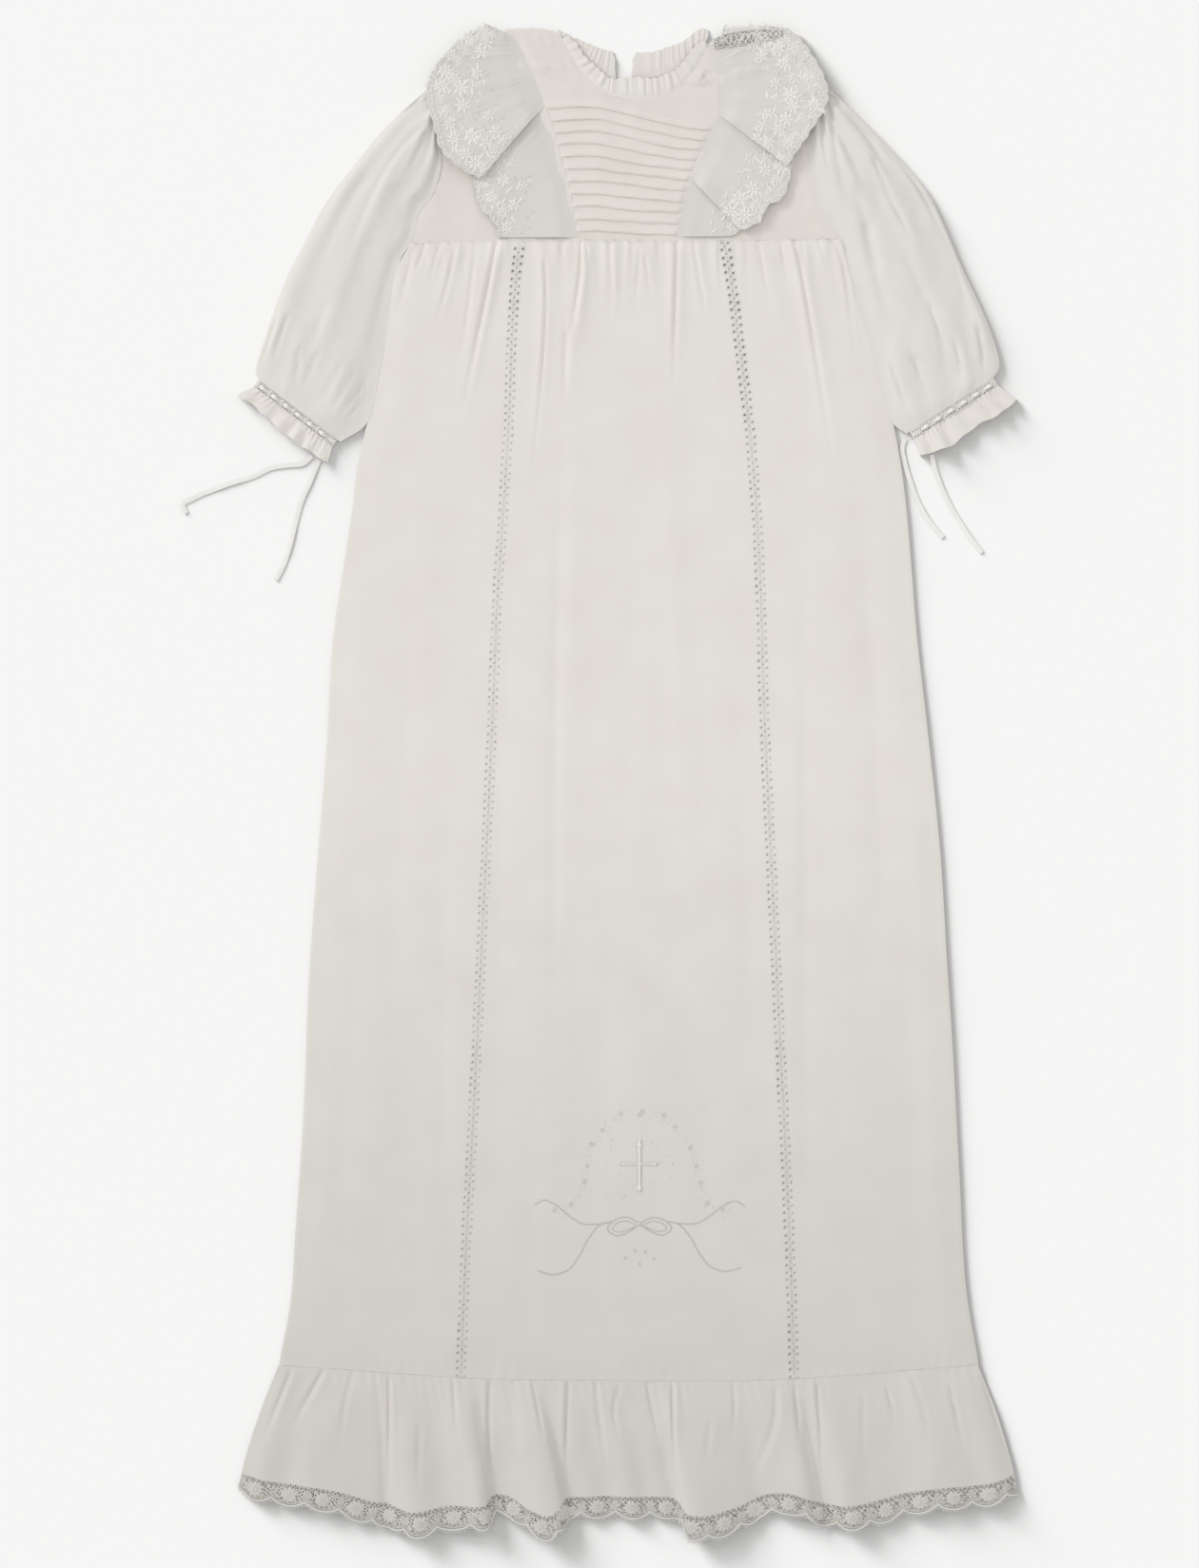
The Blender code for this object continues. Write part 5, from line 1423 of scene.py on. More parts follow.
@dataclass
class Hem:
    """The gathered ruffle at the hem and the lace along it, front and back."""

    wardrobe: Wardrobe
    lace_share: float = 0.16
    flare: float = 1.35
    rise_power: float = 2.6
    scallop_pitch: float = 22.0
    scallop_depth: float = 4.2
    top_z: float = 9.2
    back_lace_top_y: float = -436.0
    back_lace_foot_y: float = -450.0
    back_share: float = 0.975

    def free_edge(self) -> tuple[Array, Array]:
        """Places along the hem, numbered by the rows of its table, and the length of its edge up to each."""
        fine = np.linspace(0, HEM_ROWS[-1], 1500)
        keys = ("hem_x", "hem_y", "rise")
        return fine, lengths_along(stacked(*(through(fine, HEM_ROWS, HEM_FOLDS[key]) for key in keys)))

    def surface(self, s: Array, v: Array) -> Array:
        """The middle of the front ruffle's cloth.

        Args:
            s: Place along the hem, numbered by the rows of the fold table.
            v: Share of the way from the seam to the hem.

        Returns:
            Points. From the seam to the hem, x and the height run ahead of the straight line, and the
            hem's edge is scalloped. Creases and fine gathers are added to the height.
        """
        s, v = np.broadcast_arrays(np.asarray(s, float), v)
        keys = ("seam_x", "hem_x", "hem_y", "rise")
        seam_x, hem_x, hem_y, rise = (through(s, HEM_ROWS, HEM_FOLDS[key]) for key in keys)
        run = np.interp(s, *self.free_edge())
        scallop = self.scallop_depth * (np.abs(np.sin(np.pi * run / self.scallop_pitch)) ** 0.8 - 1)
        seam_z = FRONT_FOOT + 0.72
        seam_y = hem_seam_y(seam_x) + 0.3
        rest = np.maximum(1 - v, 0)
        x = mix(seam_x, hem_x, 1 - rest**self.flare)
        y = mix(seam_y, hem_y, v) - scallop * ease((v - 0.9) / 0.1)
        z = mix(seam_z, rise, 1 - rest**self.rise_power)
        away = v * np.abs(hem_y - seam_y)
        loose = ease(v / 0.1)
        z = z + 0.4 * gathers(seam_x, away, 6.4, 22, 41) + 0.12 * loose * drift(x, y * 0.4, 17, 43)
        z = z + 1.3 * relief(HEM_CREASES, x, y) * ease(v / 0.04)
        return stacked(x, y, np.clip(z, 1.2 + 0.3 * loose, self.top_z))

    def grid(self, start: float, stop: float, rows: int, columns: int = 520) -> Array:
        """The grid of a band of the ruffle.

        Args:
            start: The share of the depth at which it starts.
            stop: The share at which it stops.
            rows: The number of rows.
            columns: The number of points along the hem.

        Returns:
            The grid, rows by columns by 3.
        """
        s = np.linspace(0, HEM_ROWS[-1], columns)[None]
        return self.surface(s, np.linspace(start, stop, rows)[:, None])

    def build(self) -> None:
        """Makes ruffle and lace of the front, and the plain bands of the back."""
        split = 1 - self.lace_share
        ruffle, lace = self.grid(0, split, 30), self.grid(split - 0.004, 1, 9)
        lace[0, :, 2] -= 0.07
        for piece, grid, thickness, depth, finish, slot in (
            ("hem_ruffle", ruffle, CLOTH, 0.088, Cloth.BATISTE, "cotton_batiste"),
            ("hem_lace", lace, 0.3, 0.018, Cloth.GROUND, "cotton_lace"),
        ):
            name = f"{piece}_front"
            made = self.wardrobe.add(name, cloth(grid, thickness), finish, slot, node=name)
        gap, lace_top = SEAM_GAP / 2, self.back_lace_top_y
        self.build_back("hem_ruffle_back", BACK_HEM_SEAM_Y - gap, lace_top + gap, Cloth.UNDER)
        self.build_back("hem_lace_back", lace_top - gap, self.back_lace_foot_y, Cloth.LACE)

    def build_back(self, name: str, top: float, foot: float, finish: Cloth) -> None:
        """Makes a flat band across the back hem, with low gathers on its upper side.

        Args:
            name: The solid that it stands for.
            top: The height of its upper edge in the plan.
            foot: The height of its lower edge.
            finish: Its cloth.
        """
        corners = []
        for y in (top, foot):
            ends = []
            for end in (0, -1):
                seam_x, hem_x, hem_y = (HEM_FOLDS[key][end] for key in ("seam_x", "hem_x", "hem_y"))
                share = np.clip((y - hem_seam_y(seam_x)) / (hem_y - hem_seam_y(seam_x)), 0, 1)
                ends.append(mix(seam_x, hem_x, share) * self.back_share)
            corners.append((np.array([ends[0], y]), np.array([ends[1], y])))
        (right_top, left_top), (right_foot, left_foot) = corners
        v, across = np.linspace(0, 1, 14)[:, None, None], np.linspace(0, 1, 140)[None, :, None]
        plan = mix(mix(right_top, right_foot, v), mix(left_top, left_foot, v), across)
        x, y = plan[..., 0], plan[..., 1]
        face = stacked(x, y, 0.72 + 0.2 * np.sin(x / 2.3 + 2 * drift(x, y * 0.4, 50, 51)))
        slot = "cotton_lace" if finish is Cloth.LACE else "cotton_batiste"
        made = self.wardrobe.add(name, wall(face, stacked(x, y, 0.0), plan=plan), finish, slot, node=name)


@dataclass
class Yoke:
    """The tucked centre of the front yoke, its plain sides, the back halves and the neck frills."""

    wardrobe: Wardrobe
    armhole_foot_y: float = 345.0
    armhole_top_y: float = 438.0
    hump_x: float = -24.0
    hump_width: float = 20.0
    hump_height: float = 1.6
    fall_start_x: float = -30.0
    fall_length: float = 84.0
    slit_half: float = 5.1
    slit_centre: float = -2.7
    slit_top_y: float = 450.0
    tuck_cloth_z: float = 0.7
    top_z: float = 5.5

    def tuck_rows(self, x: Array, level: float, fall: float) -> Array:
        """The line of one tuck: a low hump on the right, then a fall to the left end, with small waves.

        Args:
            x: Places along X.
            level: The height of the tuck's right end.
            fall: How much lower its left end lies.

        Returns:
            The height of the line in the plan at each place.
        """
        hump = self.hump_height * np.exp(-(((x - self.hump_x) / self.hump_width) ** 2))
        wave = 0.35 * drift(x, level * 3, 22, 61) + 0.18 * drift(x, level * 5, 8, 62)
        return level + hump - fall * ease((x - self.fall_start_x) / self.fall_length) + wave

    def centre_grid(self, columns: int = 98) -> Array:
        """The grid of the tucked centre.

        Each tuck is a flap that hangs from its stitched line: the height rises slowly below the flap
        above, peaks at the free edge and drops back to the cloth within half a millimetre.

        Args:
            columns: The number of points across.

        Returns:
            The grid, rows by columns by 3, with a turned edge on three sides.
        """
        t = np.linspace(0, 1, columns)
        lines: list[tuple[float | None, float, float]] = [(None, 0.0, 0.0)]
        for y, fall in zip(*TUCKS.values()):
            lines += [(y + step, fall, height) for step, height in TUCK_PROFILE]
        rows = []
        for level, fall, height in lines:
            x = mix(FLOUNCE_SEAM["right"]["x"][-1], FLOUNCE_SEAM["left"]["x"][-1], t)
            for _ in range(3):
                y = yoke_seam_y(x) - 0.4 if level is None else self.tuck_rows(x, level, fall)
                x = mix(flounce_seam_x("right", y[0]), flounce_seam_x("left", y[-1]), t)
            fade = ease(np.minimum(t, 1 - t) / 0.05 + 0.2)
            puff = height * fade * (1 + 0.22 * drift(x, (level or 0) * 4, 16, 63))
            rows.append(stacked(x, y, FRONT_FOOT + self.tuck_cloth_z + puff))
        top_x = mix(YOKE_TOP["x"][0], YOKE_TOP["x"][-1], t)
        top_y = through(top_x, YOKE_TOP["x"], YOKE_TOP["y"])
        top = stacked(top_x, top_y, FRONT_FOOT + self.tuck_cloth_z)
        last = rows[-1]
        for share in np.linspace(0, 1, 26)[1:]:
            row = mix(last, top, share)
            for end, side in ((0, "right"), (-1, "left")):
                row[end, 0] = flounce_seam_x(side, row[end, 1])
            rows.append(row)
        grid = np.array(rows)
        grid = np.concatenate([grid[:, :1] - (2.5, 0, 0.5), grid, grid[:, -1:] + (2.5, 0, -0.5)], 1)
        grid = np.concatenate([grid, grid[-1:] + (0, 1.4, -0.3)])
        t = np.concatenate([[0], t, [1]])
        loose = ease(np.minimum(t, 1 - t) / 0.06 + 0.1)[None]
        x, y, z = np.moveaxis(grid, -1, 0)
        z = z + loose * (1.6 * relief(YOKE_CREASES, x, y) + 0.18 * drift(x, y, 26, 64))
        grid[..., 2] = np.clip(z, FRONT_FOOT + 0.5, self.top_z)
        return grid

    def build(self) -> None:
        """Makes all pieces of the yoke."""
        grid = self.centre_grid()
        made = self.wardrobe.add("yoke_centre", cloth(grid, 0.4), Cloth.YOKE, node="yoke_centre")
        for side, sign in (("right", -1), ("left", 1)):
            self.build_side(side, sign)
            self.build_back(side, sign)
        for name in NECK_FRILL:
            self.build_frill(name)

    def build_side(self, side: str, sign: int) -> None:
        """Makes the plain side of the front yoke, with creases that run from the armhole.

        Args:
            side: The side of the wearer, "right" or "left".
            sign: -1 for the right and 1 for the left.
        """
        v = np.linspace(0, 1, 60)
        y = mix(yoke_seam_y(sign * 90.0) + 0.2, 473.0 if side == "right" else 468.0, v)
        inner = stacked(flounce_seam_x(side, y) - sign * 0.4, y)
        inner[0, 1] = yoke_seam_y(inner[0, 0]) - 0.4
        y_out = np.linspace(self.armhole_foot_y, self.armhole_top_y, 42)
        shoulder = SHOULDER[side]
        arm = stacked(side_x(side, y_out), y_out)
        top_t = np.linspace(0, 1, 19)[1:]
        keys = np.linspace(0, 1, len(shoulder["x"]))
        top = stacked(through(top_t, keys, shoulder["x"]), through(top_t, keys, shoulder["y"]))
        outer = np.concatenate([arm, top])
        outer[:, 0] += sign * 0.8
        outer[0, 1] = yoke_seam_y(outer[0, 0]) - 0.4

        def face(x: Array, y: Array) -> Array:
            """Height of the outer side: soft creases, held flat at the armhole and at the seam.

            Args:
                x: Places along X.
                y: Places along Y.

            Returns:
                The height at each place.
            """
            crumple = 0.5 * gathers(y, np.abs(side_x(side, y) - x), 6, 22, 72)
            height = FRONT_FOOT + FACE_RISE + 0.3 * drift(x, y * 0.6, 26, 71)
            height += crumple + relief(YOKE_CREASES, x, y)
            near = ease((np.abs(side_x(side, y) - x) - 1) / 5)
            height = np.clip(height, 1.7, mix(2.1, 2.45, near))
            return mix(1.95, height, ease((y - yoke_seam_y(x)) / 5))

        form = laid_plate(inner, outer, 40, face, lambda x, y: face(x, y) - 0.4)
        name = f"yoke_side_{side}"
        made = self.wardrobe.add(name, form, Cloth.YOKE, node=name)

    def build_back(self, side: str, sign: int) -> None:
        """Makes half of the back yoke, flat on the ground, from the armhole to the slit.

        Args:
            side: The side of the wearer, "right" or "left".
            sign: -1 for the right and 1 for the left.
        """
        slit_x = self.slit_centre + sign * self.slit_half
        neck = stacked(BACK_NECK["x"], BACK_NECK["y"])
        neck = neck[::-sign]
        neck = neck[sign * neck[:, 0] > sign * slit_x]
        y_side = np.linspace(self.armhole_foot_y, self.armhole_top_y, 12)
        armhole = stacked(side_x(side, y_side) - sign * 0.5, y_side)
        shoulder = stacked(SHOULDER[side]["x"] - sign * 0.4, SHOULDER[side]["y"] - 0.6)
        upper = np.concatenate([armhole, shoulder, neck, [(slit_x, self.slit_top_y)]])
        foot_x = np.linspace(armhole[0, 0], self.slit_centre + sign * 0.5, 60)
        length = lengths_along(upper)
        at = np.linspace(0, length[-1], 60)
        top = stacked(np.interp(at, length, upper[:, 0]), np.interp(at, length, upper[:, 1]))
        foot = stacked(foot_x, yoke_seam_y(foot_x) + 0.2)

        def face(x: Array, y: Array) -> Array:
            """Height of the upper side: a soft drift."""
            return 0.65 + 0.12 * drift(x, y, 22, 75)

        name = f"yoke_back_{side}"
        form = laid_plate(foot, top, 40, face, lambda x, y: 0 * x)
        made = self.wardrobe.add(name, form, Cloth.UNDER, node=name)

    def build_frill(self, name: str) -> None:
        """Makes a pleated frill from the neck seam to its free edge.

        Args:
            name: The frill's name in the table.
        """
        rows = NECK_FRILL[name]
        pleats = NECK_FRILL_WAVES[name]
        front = name == "front"
        keys = np.linspace(0, 1, len(rows["seam_x"]))
        at = np.linspace(0, 1, pleats * 10 + 1)
        seam = stacked(*(through(at, keys, rows[key]) for key in ("seam_x", "seam_y")))
        edge = stacked(*(through(at, keys, rows[key]) for key in ("edge_x", "edge_y")))
        share = np.linspace(0, 1, 12)[:, None]
        phase = 2 * np.pi * pleats * at + 2.0 * drift(at * 100, 0, 16, 81)
        strength = np.clip(0.7 + 0.6 * drift(at * 100, 0, 9, 82), 0.2, 1.1)
        wave = (0.5 - 0.5 * np.cos(phase + 0.8 * np.sin(phase))) * strength
        out = unit(edge - seam)
        ends = 0.6 + 0.4 * ease(np.minimum(at, 1 - at) / 0.05)
        edge = mix(seam, edge + out * (0.35 * np.sin(phase + 1))[:, None], ends[:, None])
        tail, foot, seam_height, pleat = (1.1, 2.05, 2.05, 1.15) if front else (6.5, 0.05, 0.72, 0.7)
        plan = mix(seam - tail * out, edge, share[..., None])
        height = foot + 0.45 + wave * pleat * mix(0.45, 1, ease(share * 1.4))
        height = mix(seam_height, height, ease((share - 0.02) / 0.3))
        face = stacked(plan[..., 0], plan[..., 1], height)
        under = stacked(plan[..., 0], plan[..., 1], height - 0.35 if front else 0 * height)
        node = f"neck_frill_{name}"
        made = self.wardrobe.add(node, wall(face, under), Cloth.BATISTE, node=node)


@dataclass
class Sleeve:
    """One sleeve with its cuff band and frill."""

    wardrobe: Wardrobe
    side: str
    cuff_length: float = 62.5
    band_width: float = 5.2
    waves: int = 6
    side_top: float = 2.6
    edge_z: float = 1.3
    top_z: float = 9.0

    def build(self) -> None:
        """Makes sleeve, band and frill."""
        side = self.side
        rows = refined(SLEEVE[side], 6)
        across = rounded(66)
        along = np.linspace(0, 1, len(rows["puff"]))[:, None]
        bulge = 4 * across * (1 - across)
        arch = mix(bulge**0.5, bulge**0.85, ease((across - 0.5) / 0.4)) * rows["puff"][:, None]
        ridge = np.zeros(arch.shape)
        for head, cuff, start, stop, height, width in zip(*SLEEVE_FOLDS[side].values()):
            share = (along - start) / (stop - start)
            fade = ease((share + 0.1) / 0.3) * (1 - ease((share - 0.75) / 0.3))
            ridge += height * fade * np.exp(-(((across - mix(head, cuff, along)) / width) ** 2))
        outer = stacked(rows["outer_x"], rows["outer_y"])
        inner = stacked(rows["inner_x"], rows["inner_y"])
        clear = ease((along - 0.35) / 0.15)
        inner = inner + unit(inner - outer) * mix(3.0, 2.3, clear)
        plan = outer[:, None] + (inner - outer)[:, None] * across[..., None]
        x, y = plan[..., 0], plan[..., 1]
        edge = ease(across / 0.05) * ease((1 - across) / 0.05)
        run = across * np.linalg.norm(inner - outer, axis=1)[:, None]
        length = np.linalg.norm(plan[-1] - plan[0], axis=-1)[None]
        fine = 0.45 * gathers(run, along * length, 7.0, 24, 91)
        fine += 0.5 * gathers(run, (1 - along) * length, 6.4, 26, 92)
        soft = 0.3 * drift(x, y, 26, 93) + 0.12 * drift(x, y, 11, 94)
        share, deep = (0.65, 1.3) if side == "right" else (0.9, 1.8)
        ends = ease(along / 0.1) * ease((1 - along) / 0.1)
        extra = deep * relief(SLEEVE_CREASES[side], x, y) + fine + soft * ends
        face = self.side_top - 0.25 + arch * 0.92 + edge * (share * ridge + extra)
        near = 1 - ease((1 - across) / 0.16)
        face = mix(np.clip(face, self.side_top - 0.6, self.top_z), mix(2.4, 2.1, clear), near)
        face[:, 0] = self.edge_z
        under = 0.55 * (1 - ease(np.minimum(across, 1 - across) / 0.02))
        form = flat_tube(plan, face, np.broadcast_to(under, face.shape), 0.42)
        name = f"sleeve_{side}"
        made = self.wardrobe.add(name, form, Cloth.SLEEVE, node=name)
        width = float(np.linalg.norm(inner - outer, axis=1).mean() * MM)
        self.build_band()
        self.build_frill()

    def cuff_point(self, along: Array, away: Array) -> Array:
        """A place in the plan from distances along the cuff and away from the sleeve.

        Args:
            along: Distances along the cuff.
            away: Distances away from the sleeve.

        Returns:
            Points of the plan.
        """
        cuff = CUFF[self.side]
        steps = stacked(along, away)
        return np.array(cuff["end"]) + steps[..., :1] * cuff["along"] + steps[..., 1:] * cuff["away"]

    def band_surface(self, along: Array, away: Array) -> Array:
        """The cuff band's outer side: an arch across the cuff, and a low swell across the band.

        Args:
            along: Distances along the cuff.
            away: Distances away from the band's middle.

        Returns:
            Points of the outer side.
        """
        across = np.clip(along / self.cuff_length, 0.001, 0.999)
        arch = (4 * across * (1 - across)) ** 0.4 * 1.6
        swell = 0.45 * np.clip(1 - (np.abs(away) / (self.band_width / 2 + 0.3)) ** 4, 0, 1)
        plan = self.cuff_point(*np.broadcast_arrays(along, away))
        return stacked(plan[..., 0], plan[..., 1], self.side_top - 0.5 + arch + swell)

    def build_band(self) -> None:
        """Makes the band of beading lace round the cuff."""
        half = self.band_width / 2 + 0.25
        away = np.linspace(-half, half, 10)[:, None]
        along, away = np.broadcast_arrays(rounded(80) * self.cuff_length, away)
        face = self.band_surface(along, away)[..., 2]
        face[:, 0] = face[:, -1] = self.edge_z
        form = flat_tube(self.cuff_point(along, away), face, 0 * face, 0.5)
        name = f"cuff_band_{self.side}"
        made = self.wardrobe.add(name, form, Cloth.LACE, "cotton_lace", node=name)

    def build_frill(self) -> None:
        """Makes the frill below the band, which flares to a waved edge."""
        edge = CUFF_FRILL[self.side]
        across, s = rounded(110), np.linspace(0, 1, 14)[:, None]
        run = self.cuff_length * across
        free = mix(edge["along"][0], edge["along"][-1], across)
        straight = mix(edge["away"][0], edge["away"][-1], across)
        bow = through(free[0], edge["along"], edge["away"])[None] - straight
        shift = 0.6 if self.side == "left" else 2.2
        ripple = 0.8 * np.sin(11 * across + shift) + 0.4 * np.sin(29 * across)
        away = mix(self.band_width / 2 - 0.2, straight + bow + ripple, s)
        wave = 0.5 - 0.5 * np.cos(2 * np.pi * self.waves * across + 2.2 * np.sin(4.3 * across + shift))
        wave = wave * (0.45 + 0.9 * np.sin(5 * across + shift) ** 2)
        arch = (4 * across * (1 - across)) ** 0.4
        edges = ease(np.minimum(across, 1 - across) / 0.04)
        swell = 0.8 + mix(0.5, 2.9, s) * wave * (1 + 0.3 * np.sin(9 * across + 1))
        fine = 1.2 * gathers(run, s * 18.0, 3.6, 12, 97) + 0.5 * drift(run, s * 8, 9, 98) * s
        face = self.side_top - 0.3 + arch * swell + edges * fine
        face[:, 0] = face[:, -1] = self.edge_z
        rings = flat_rings(self.cuff_point(mix(run, free, s), away), face, 0 * face)
        normals = ring_normals(rings)
        middle_z = 2.0
        if (normals[..., 2] * (rings[..., 2] - middle_z)).mean() < 0:
            normals = -normals
        name = f"cuff_frill_{self.side}"
        form = wall(rings, rings - normals * 0.35, ring=True)
        made = self.wardrobe.add(name, form, Cloth.BATISTE, node=name)


def turned_rows(crest: Array, before: Array, laps: Sequence[float], thickness: float) -> list[Array]:
    """The rows of a flounce's fold: from its crest back under the lobe above, and forward again below that.

    Args:
        crest: The line at the crest, seam and edge points in one row.
        before: A line of the same lobe before the crest.
        laps: How far the fold reaches back at the seam and at the edge.
        thickness: The height of one layer.

    Returns:
        The rows of the fold.
    """
    ends = crest.reshape(2, 3)
    run = (ends[1] - ends[0])[:2]
    back = np.array([run[1], -run[0], 0]) / np.linalg.norm(run)
    if (before.reshape(2, 3) - ends)[:, :2].sum(axis=0) @ back[:2] < 0:
        back = -back
    half = thickness / 2
    laps = np.array(laps)
    down = np.array([0, 0, half])
    rows = []
    bend = half * 0.4
    for reach, layer in ((bend, 0.1), (0, 1), (bend, 1.9), (laps - half, 2), (laps, 3), (laps - half, 4)):
        rows.append((ends + np.multiply.outer(np.broadcast_to(reach, 2), back) - layer * down).ravel())
    return rows


@dataclass
class Flounce:
    """A shoulder flounce, sewn in at the yoke and folded over itself."""

    wardrobe: Wardrobe
    side: str
    layer: float = 1.4
    depth: float = 62.0
    scallop_pitch: float = 9.0
    low_z: float = 2.65
    top_z: float = 9.1
    rows: Array = field(init=False)
    run: Array = field(init=False)

    def __post_init__(self) -> None:
        """Lists the lines that cross the flounce from the seam to its free edge."""
        order = "seam_x seam_y seam_z edge_x edge_y edge_z".split()
        laps = FLOUNCE_LAPS[self.side]
        lines: list[Array] = []
        for number, lobe in enumerate(FLOUNCE[self.side]):
            fine = refined(lobe, 6)
            lobe_lines = list(stacked(*(fine[name] for name in order)))
            if number < len(laps):
                crest = lobe_lines.pop()
                lobe_lines += turned_rows(crest, lobe_lines[-2], laps[number], self.layer)
            lines += lobe_lines
        self.rows = np.array(lines)
        self.run = lengths_along(self.rows[:, 3:])

    def surface(self, s: Array, v: Array) -> Array:
        """The middle of the cloth at a length along the free edge and a share of the way out from the seam.

        Small gathers rise at the seam and the free edge is scalloped.

        Args:
            s: Lengths along the free edge.
            v: Shares of the way out.

        Returns:
            Points.
        """
        s, v = np.broadcast_arrays(np.asarray(s, float), v)
        line = np.stack([np.interp(s, self.run, self.rows[:, i]) for i in range(6)], -1)
        seam, edge = line[..., :3], line[..., 3:]
        reach = np.linalg.norm(edge - seam, axis=-1)
        out = unit(edge - seam)
        scallop = (np.abs(np.sin(np.pi * s / self.scallop_pitch)) - 0.6) * ease((v - 0.93) / 0.07)
        tuck = 2.4 * (1 - ease(v / 0.12))
        points = mix(seam, edge, v[..., None]) + out * (scallop - tuck)[..., None]
        x, y, z = np.moveaxis(points, -1, 0)
        away, loose = v * reach, ease(v / 0.2)
        z = z + 0.4 * gathers(s, away, 8.0, 20, 101) * ease(away / 3)
        z = z + 0.25 * drift(s, away * 0.7, 17, 102) * loose
        z = z + 0.9 * relief(YOKE_CREASES, x, y) * loose
        points[..., 2] = mix(2.12, np.clip(z, self.low_z, self.top_z), loose)
        return points

    def height(self, x: Array, y: Array) -> Array:
        """The top of the flounce over places of the plan: the highest of the surface's points near each.

        Args:
            x: Places along X.
            y: Places along Y.

        Returns:
            The height at each place.
        """
        s = np.linspace(0, self.run[-1], 220)[None]
        grid = self.surface(s, np.linspace(0, 1, 40)[:, None]).reshape(-1, 3)
        far = np.hypot(x[..., None] - grid[:, 0], y[..., None] - grid[:, 1])
        return np.where(far < 2.2, grid[:, 2], 2.6).max(axis=-1)

    def build(self) -> None:
        """Makes the flounce."""
        s = np.unique(np.concatenate([np.linspace(0, self.run[-1], 200), self.run]))
        v = np.linspace(0, 1, 30)[:, None]
        grid = self.surface(s[None], v)
        name = f"flounce_{self.side}"
        form = cloth(grid, 0.4, stacked(s[None], self.depth * v))
        made = self.wardrobe.add(name, form, Cloth.SHEER, node=name)


# Half of the skirt's bow, in millimetres from its knot: a loop and two tails
BOW_KNOT = (7.2, -277.0)
BOW_CURVES = (
    ((0.0, 0.0), (8.5, 3.6), (16.5, 1.0), (20.0, -3.4), (14.5, -7.6), (7.0, -5.4), (0.0, -1.0)),
    ((2.0, -1.2), (8.6, 1.2), (14.6, -0.6), (17.0, -3.4), (13.6, -5.2), (8.0, -4.2), (3.0, -2.2)),
    ((19.5, 0.6), (27.0, -0.4), (35.5, -0.2), (44.0, 4.4), (52.5, 11.0), (60.0, 13.8), (66.0, 10.8)),
    ((17.0, 1.2), (24.5, -0.8), (31.5, -8.4), (37.5, -19.0), (44.5, -27.4), (54.0, -30.4), (64.0, -28.0)),
)
# Half of the arch of flowers over the cross, from the knot as well
ARCH = (
    (60.0, 9.0), (49.0, 9.6), (41.5, 15.0), (37.0, 25.0), (35.0, 37.0), (30.0, 50.0), (20.5, 61.5),
    (9.0, 68.5), (0.0, 70.5),
)
CROSS_CENTRE = (7.2, -240.0)
# The strip turned over along the left shoulder: places along it with its upper and lower edge
TURNBACK = table(
    "x top foot",
    (54.5, 468.6, 463.0), (60, 471.4, 463.2), (67, 472.8, 464.2), (75, 473.8, 464.8), (82, 474.4, 466.0),
    (90, 474.2, 468.0), (97, 473.2, 470.0),
)


def smooth_line(points: Sequence[Sequence[float]], count: int) -> Array:
    """A smooth curve through points of the plan, at even steps of its parameter.

    Args:
        points: The points.
        count: The number of places on the curve.

    Returns:
        The places.
    """
    line = np.array(points, float)
    keys = lengths_along(line)
    at = np.linspace(0, keys[-1], count)
    return stacked(through(at, keys, line[:, 0]), through(at, keys, line[:, 1]))


@dataclass
class Needlework:
    """Collects stitches on one ground and gives them as one form."""

    ground: Ground
    forms: list[Form] = field(default_factory=list)

    def stitch(
        self, kind: Stitch, places: Numbers, turn: Numbers, size: Numbers, lift: float = 0.0
    ) -> None:
        """Adds copies of a stitch at places, with their turns and their sizes (length, width, height)."""
        self.forms.append(self.ground.drape(kind.form(), places, turn, size, lift))

    def cord(self, line: Array, width: float, height: float, lift: float = 0.0) -> None:
        """Adds a thread along a line of places."""
        self.forms.append(self.ground.strand(line[:, 0], line[:, 1], width, height, lift))

    def blossoms(self, places: Array, turn: Array, reach: Array, petals: int, width: float = 0.42) -> None:
        """Adds flowers: leaf stitches round a knot.

        Args:
            places: The flowers' middles.
            turn: The angle of each one's first petal.
            reach: Each one's radius in millimetres.
            petals: The number of petals.
            width: A petal's width as a share of its length.
        """
        spread = 2 * np.pi * np.arange(petals) / petals
        turns = (np.asarray(turn)[:, None] + spread).ravel()
        length = np.repeat(np.asarray(reach, float), petals)
        size = stacked(length, length * width, np.clip(length * 0.18, 0.25, 0.8))
        self.stitch(Stitch.LEAF, np.repeat(places, petals, axis=0), turns, size)
        middle = np.asarray(reach, float) * 0.42
        self.stitch(Stitch.KNOT, places, 0, stacked(middle, middle, 0.6), 0.05)

    def satin(self, line: Array, width: Array | float, pitch: float, height: float = 0.35) -> None:
        """Adds satin stitch: grains laid across a line, at an even pitch along it.

        Args:
            line: Places in millimetres of the plan.
            width: The width along the line, one value for each place.
            pitch: The distance between grains.
            height: The height of a grain.
        """
        keys = lengths_along(line)
        at = np.arange(pitch / 2, keys[-1], pitch)
        columns = (*line.T, np.broadcast_to(width, keys.shape), heading(line))
        x, y, wide, angle = (np.interp(at, keys, column) for column in columns)
        angle = angle + np.pi / 2
        start = stacked(x - np.cos(angle) * wide / 2, y - np.sin(angle) * wide / 2)
        self.stitch(Stitch.GRAIN, start, angle, stacked(wide, pitch * 1.5, height))

    def form(self) -> Form:
        """All stitches as one form."""
        return joined(self.forms)


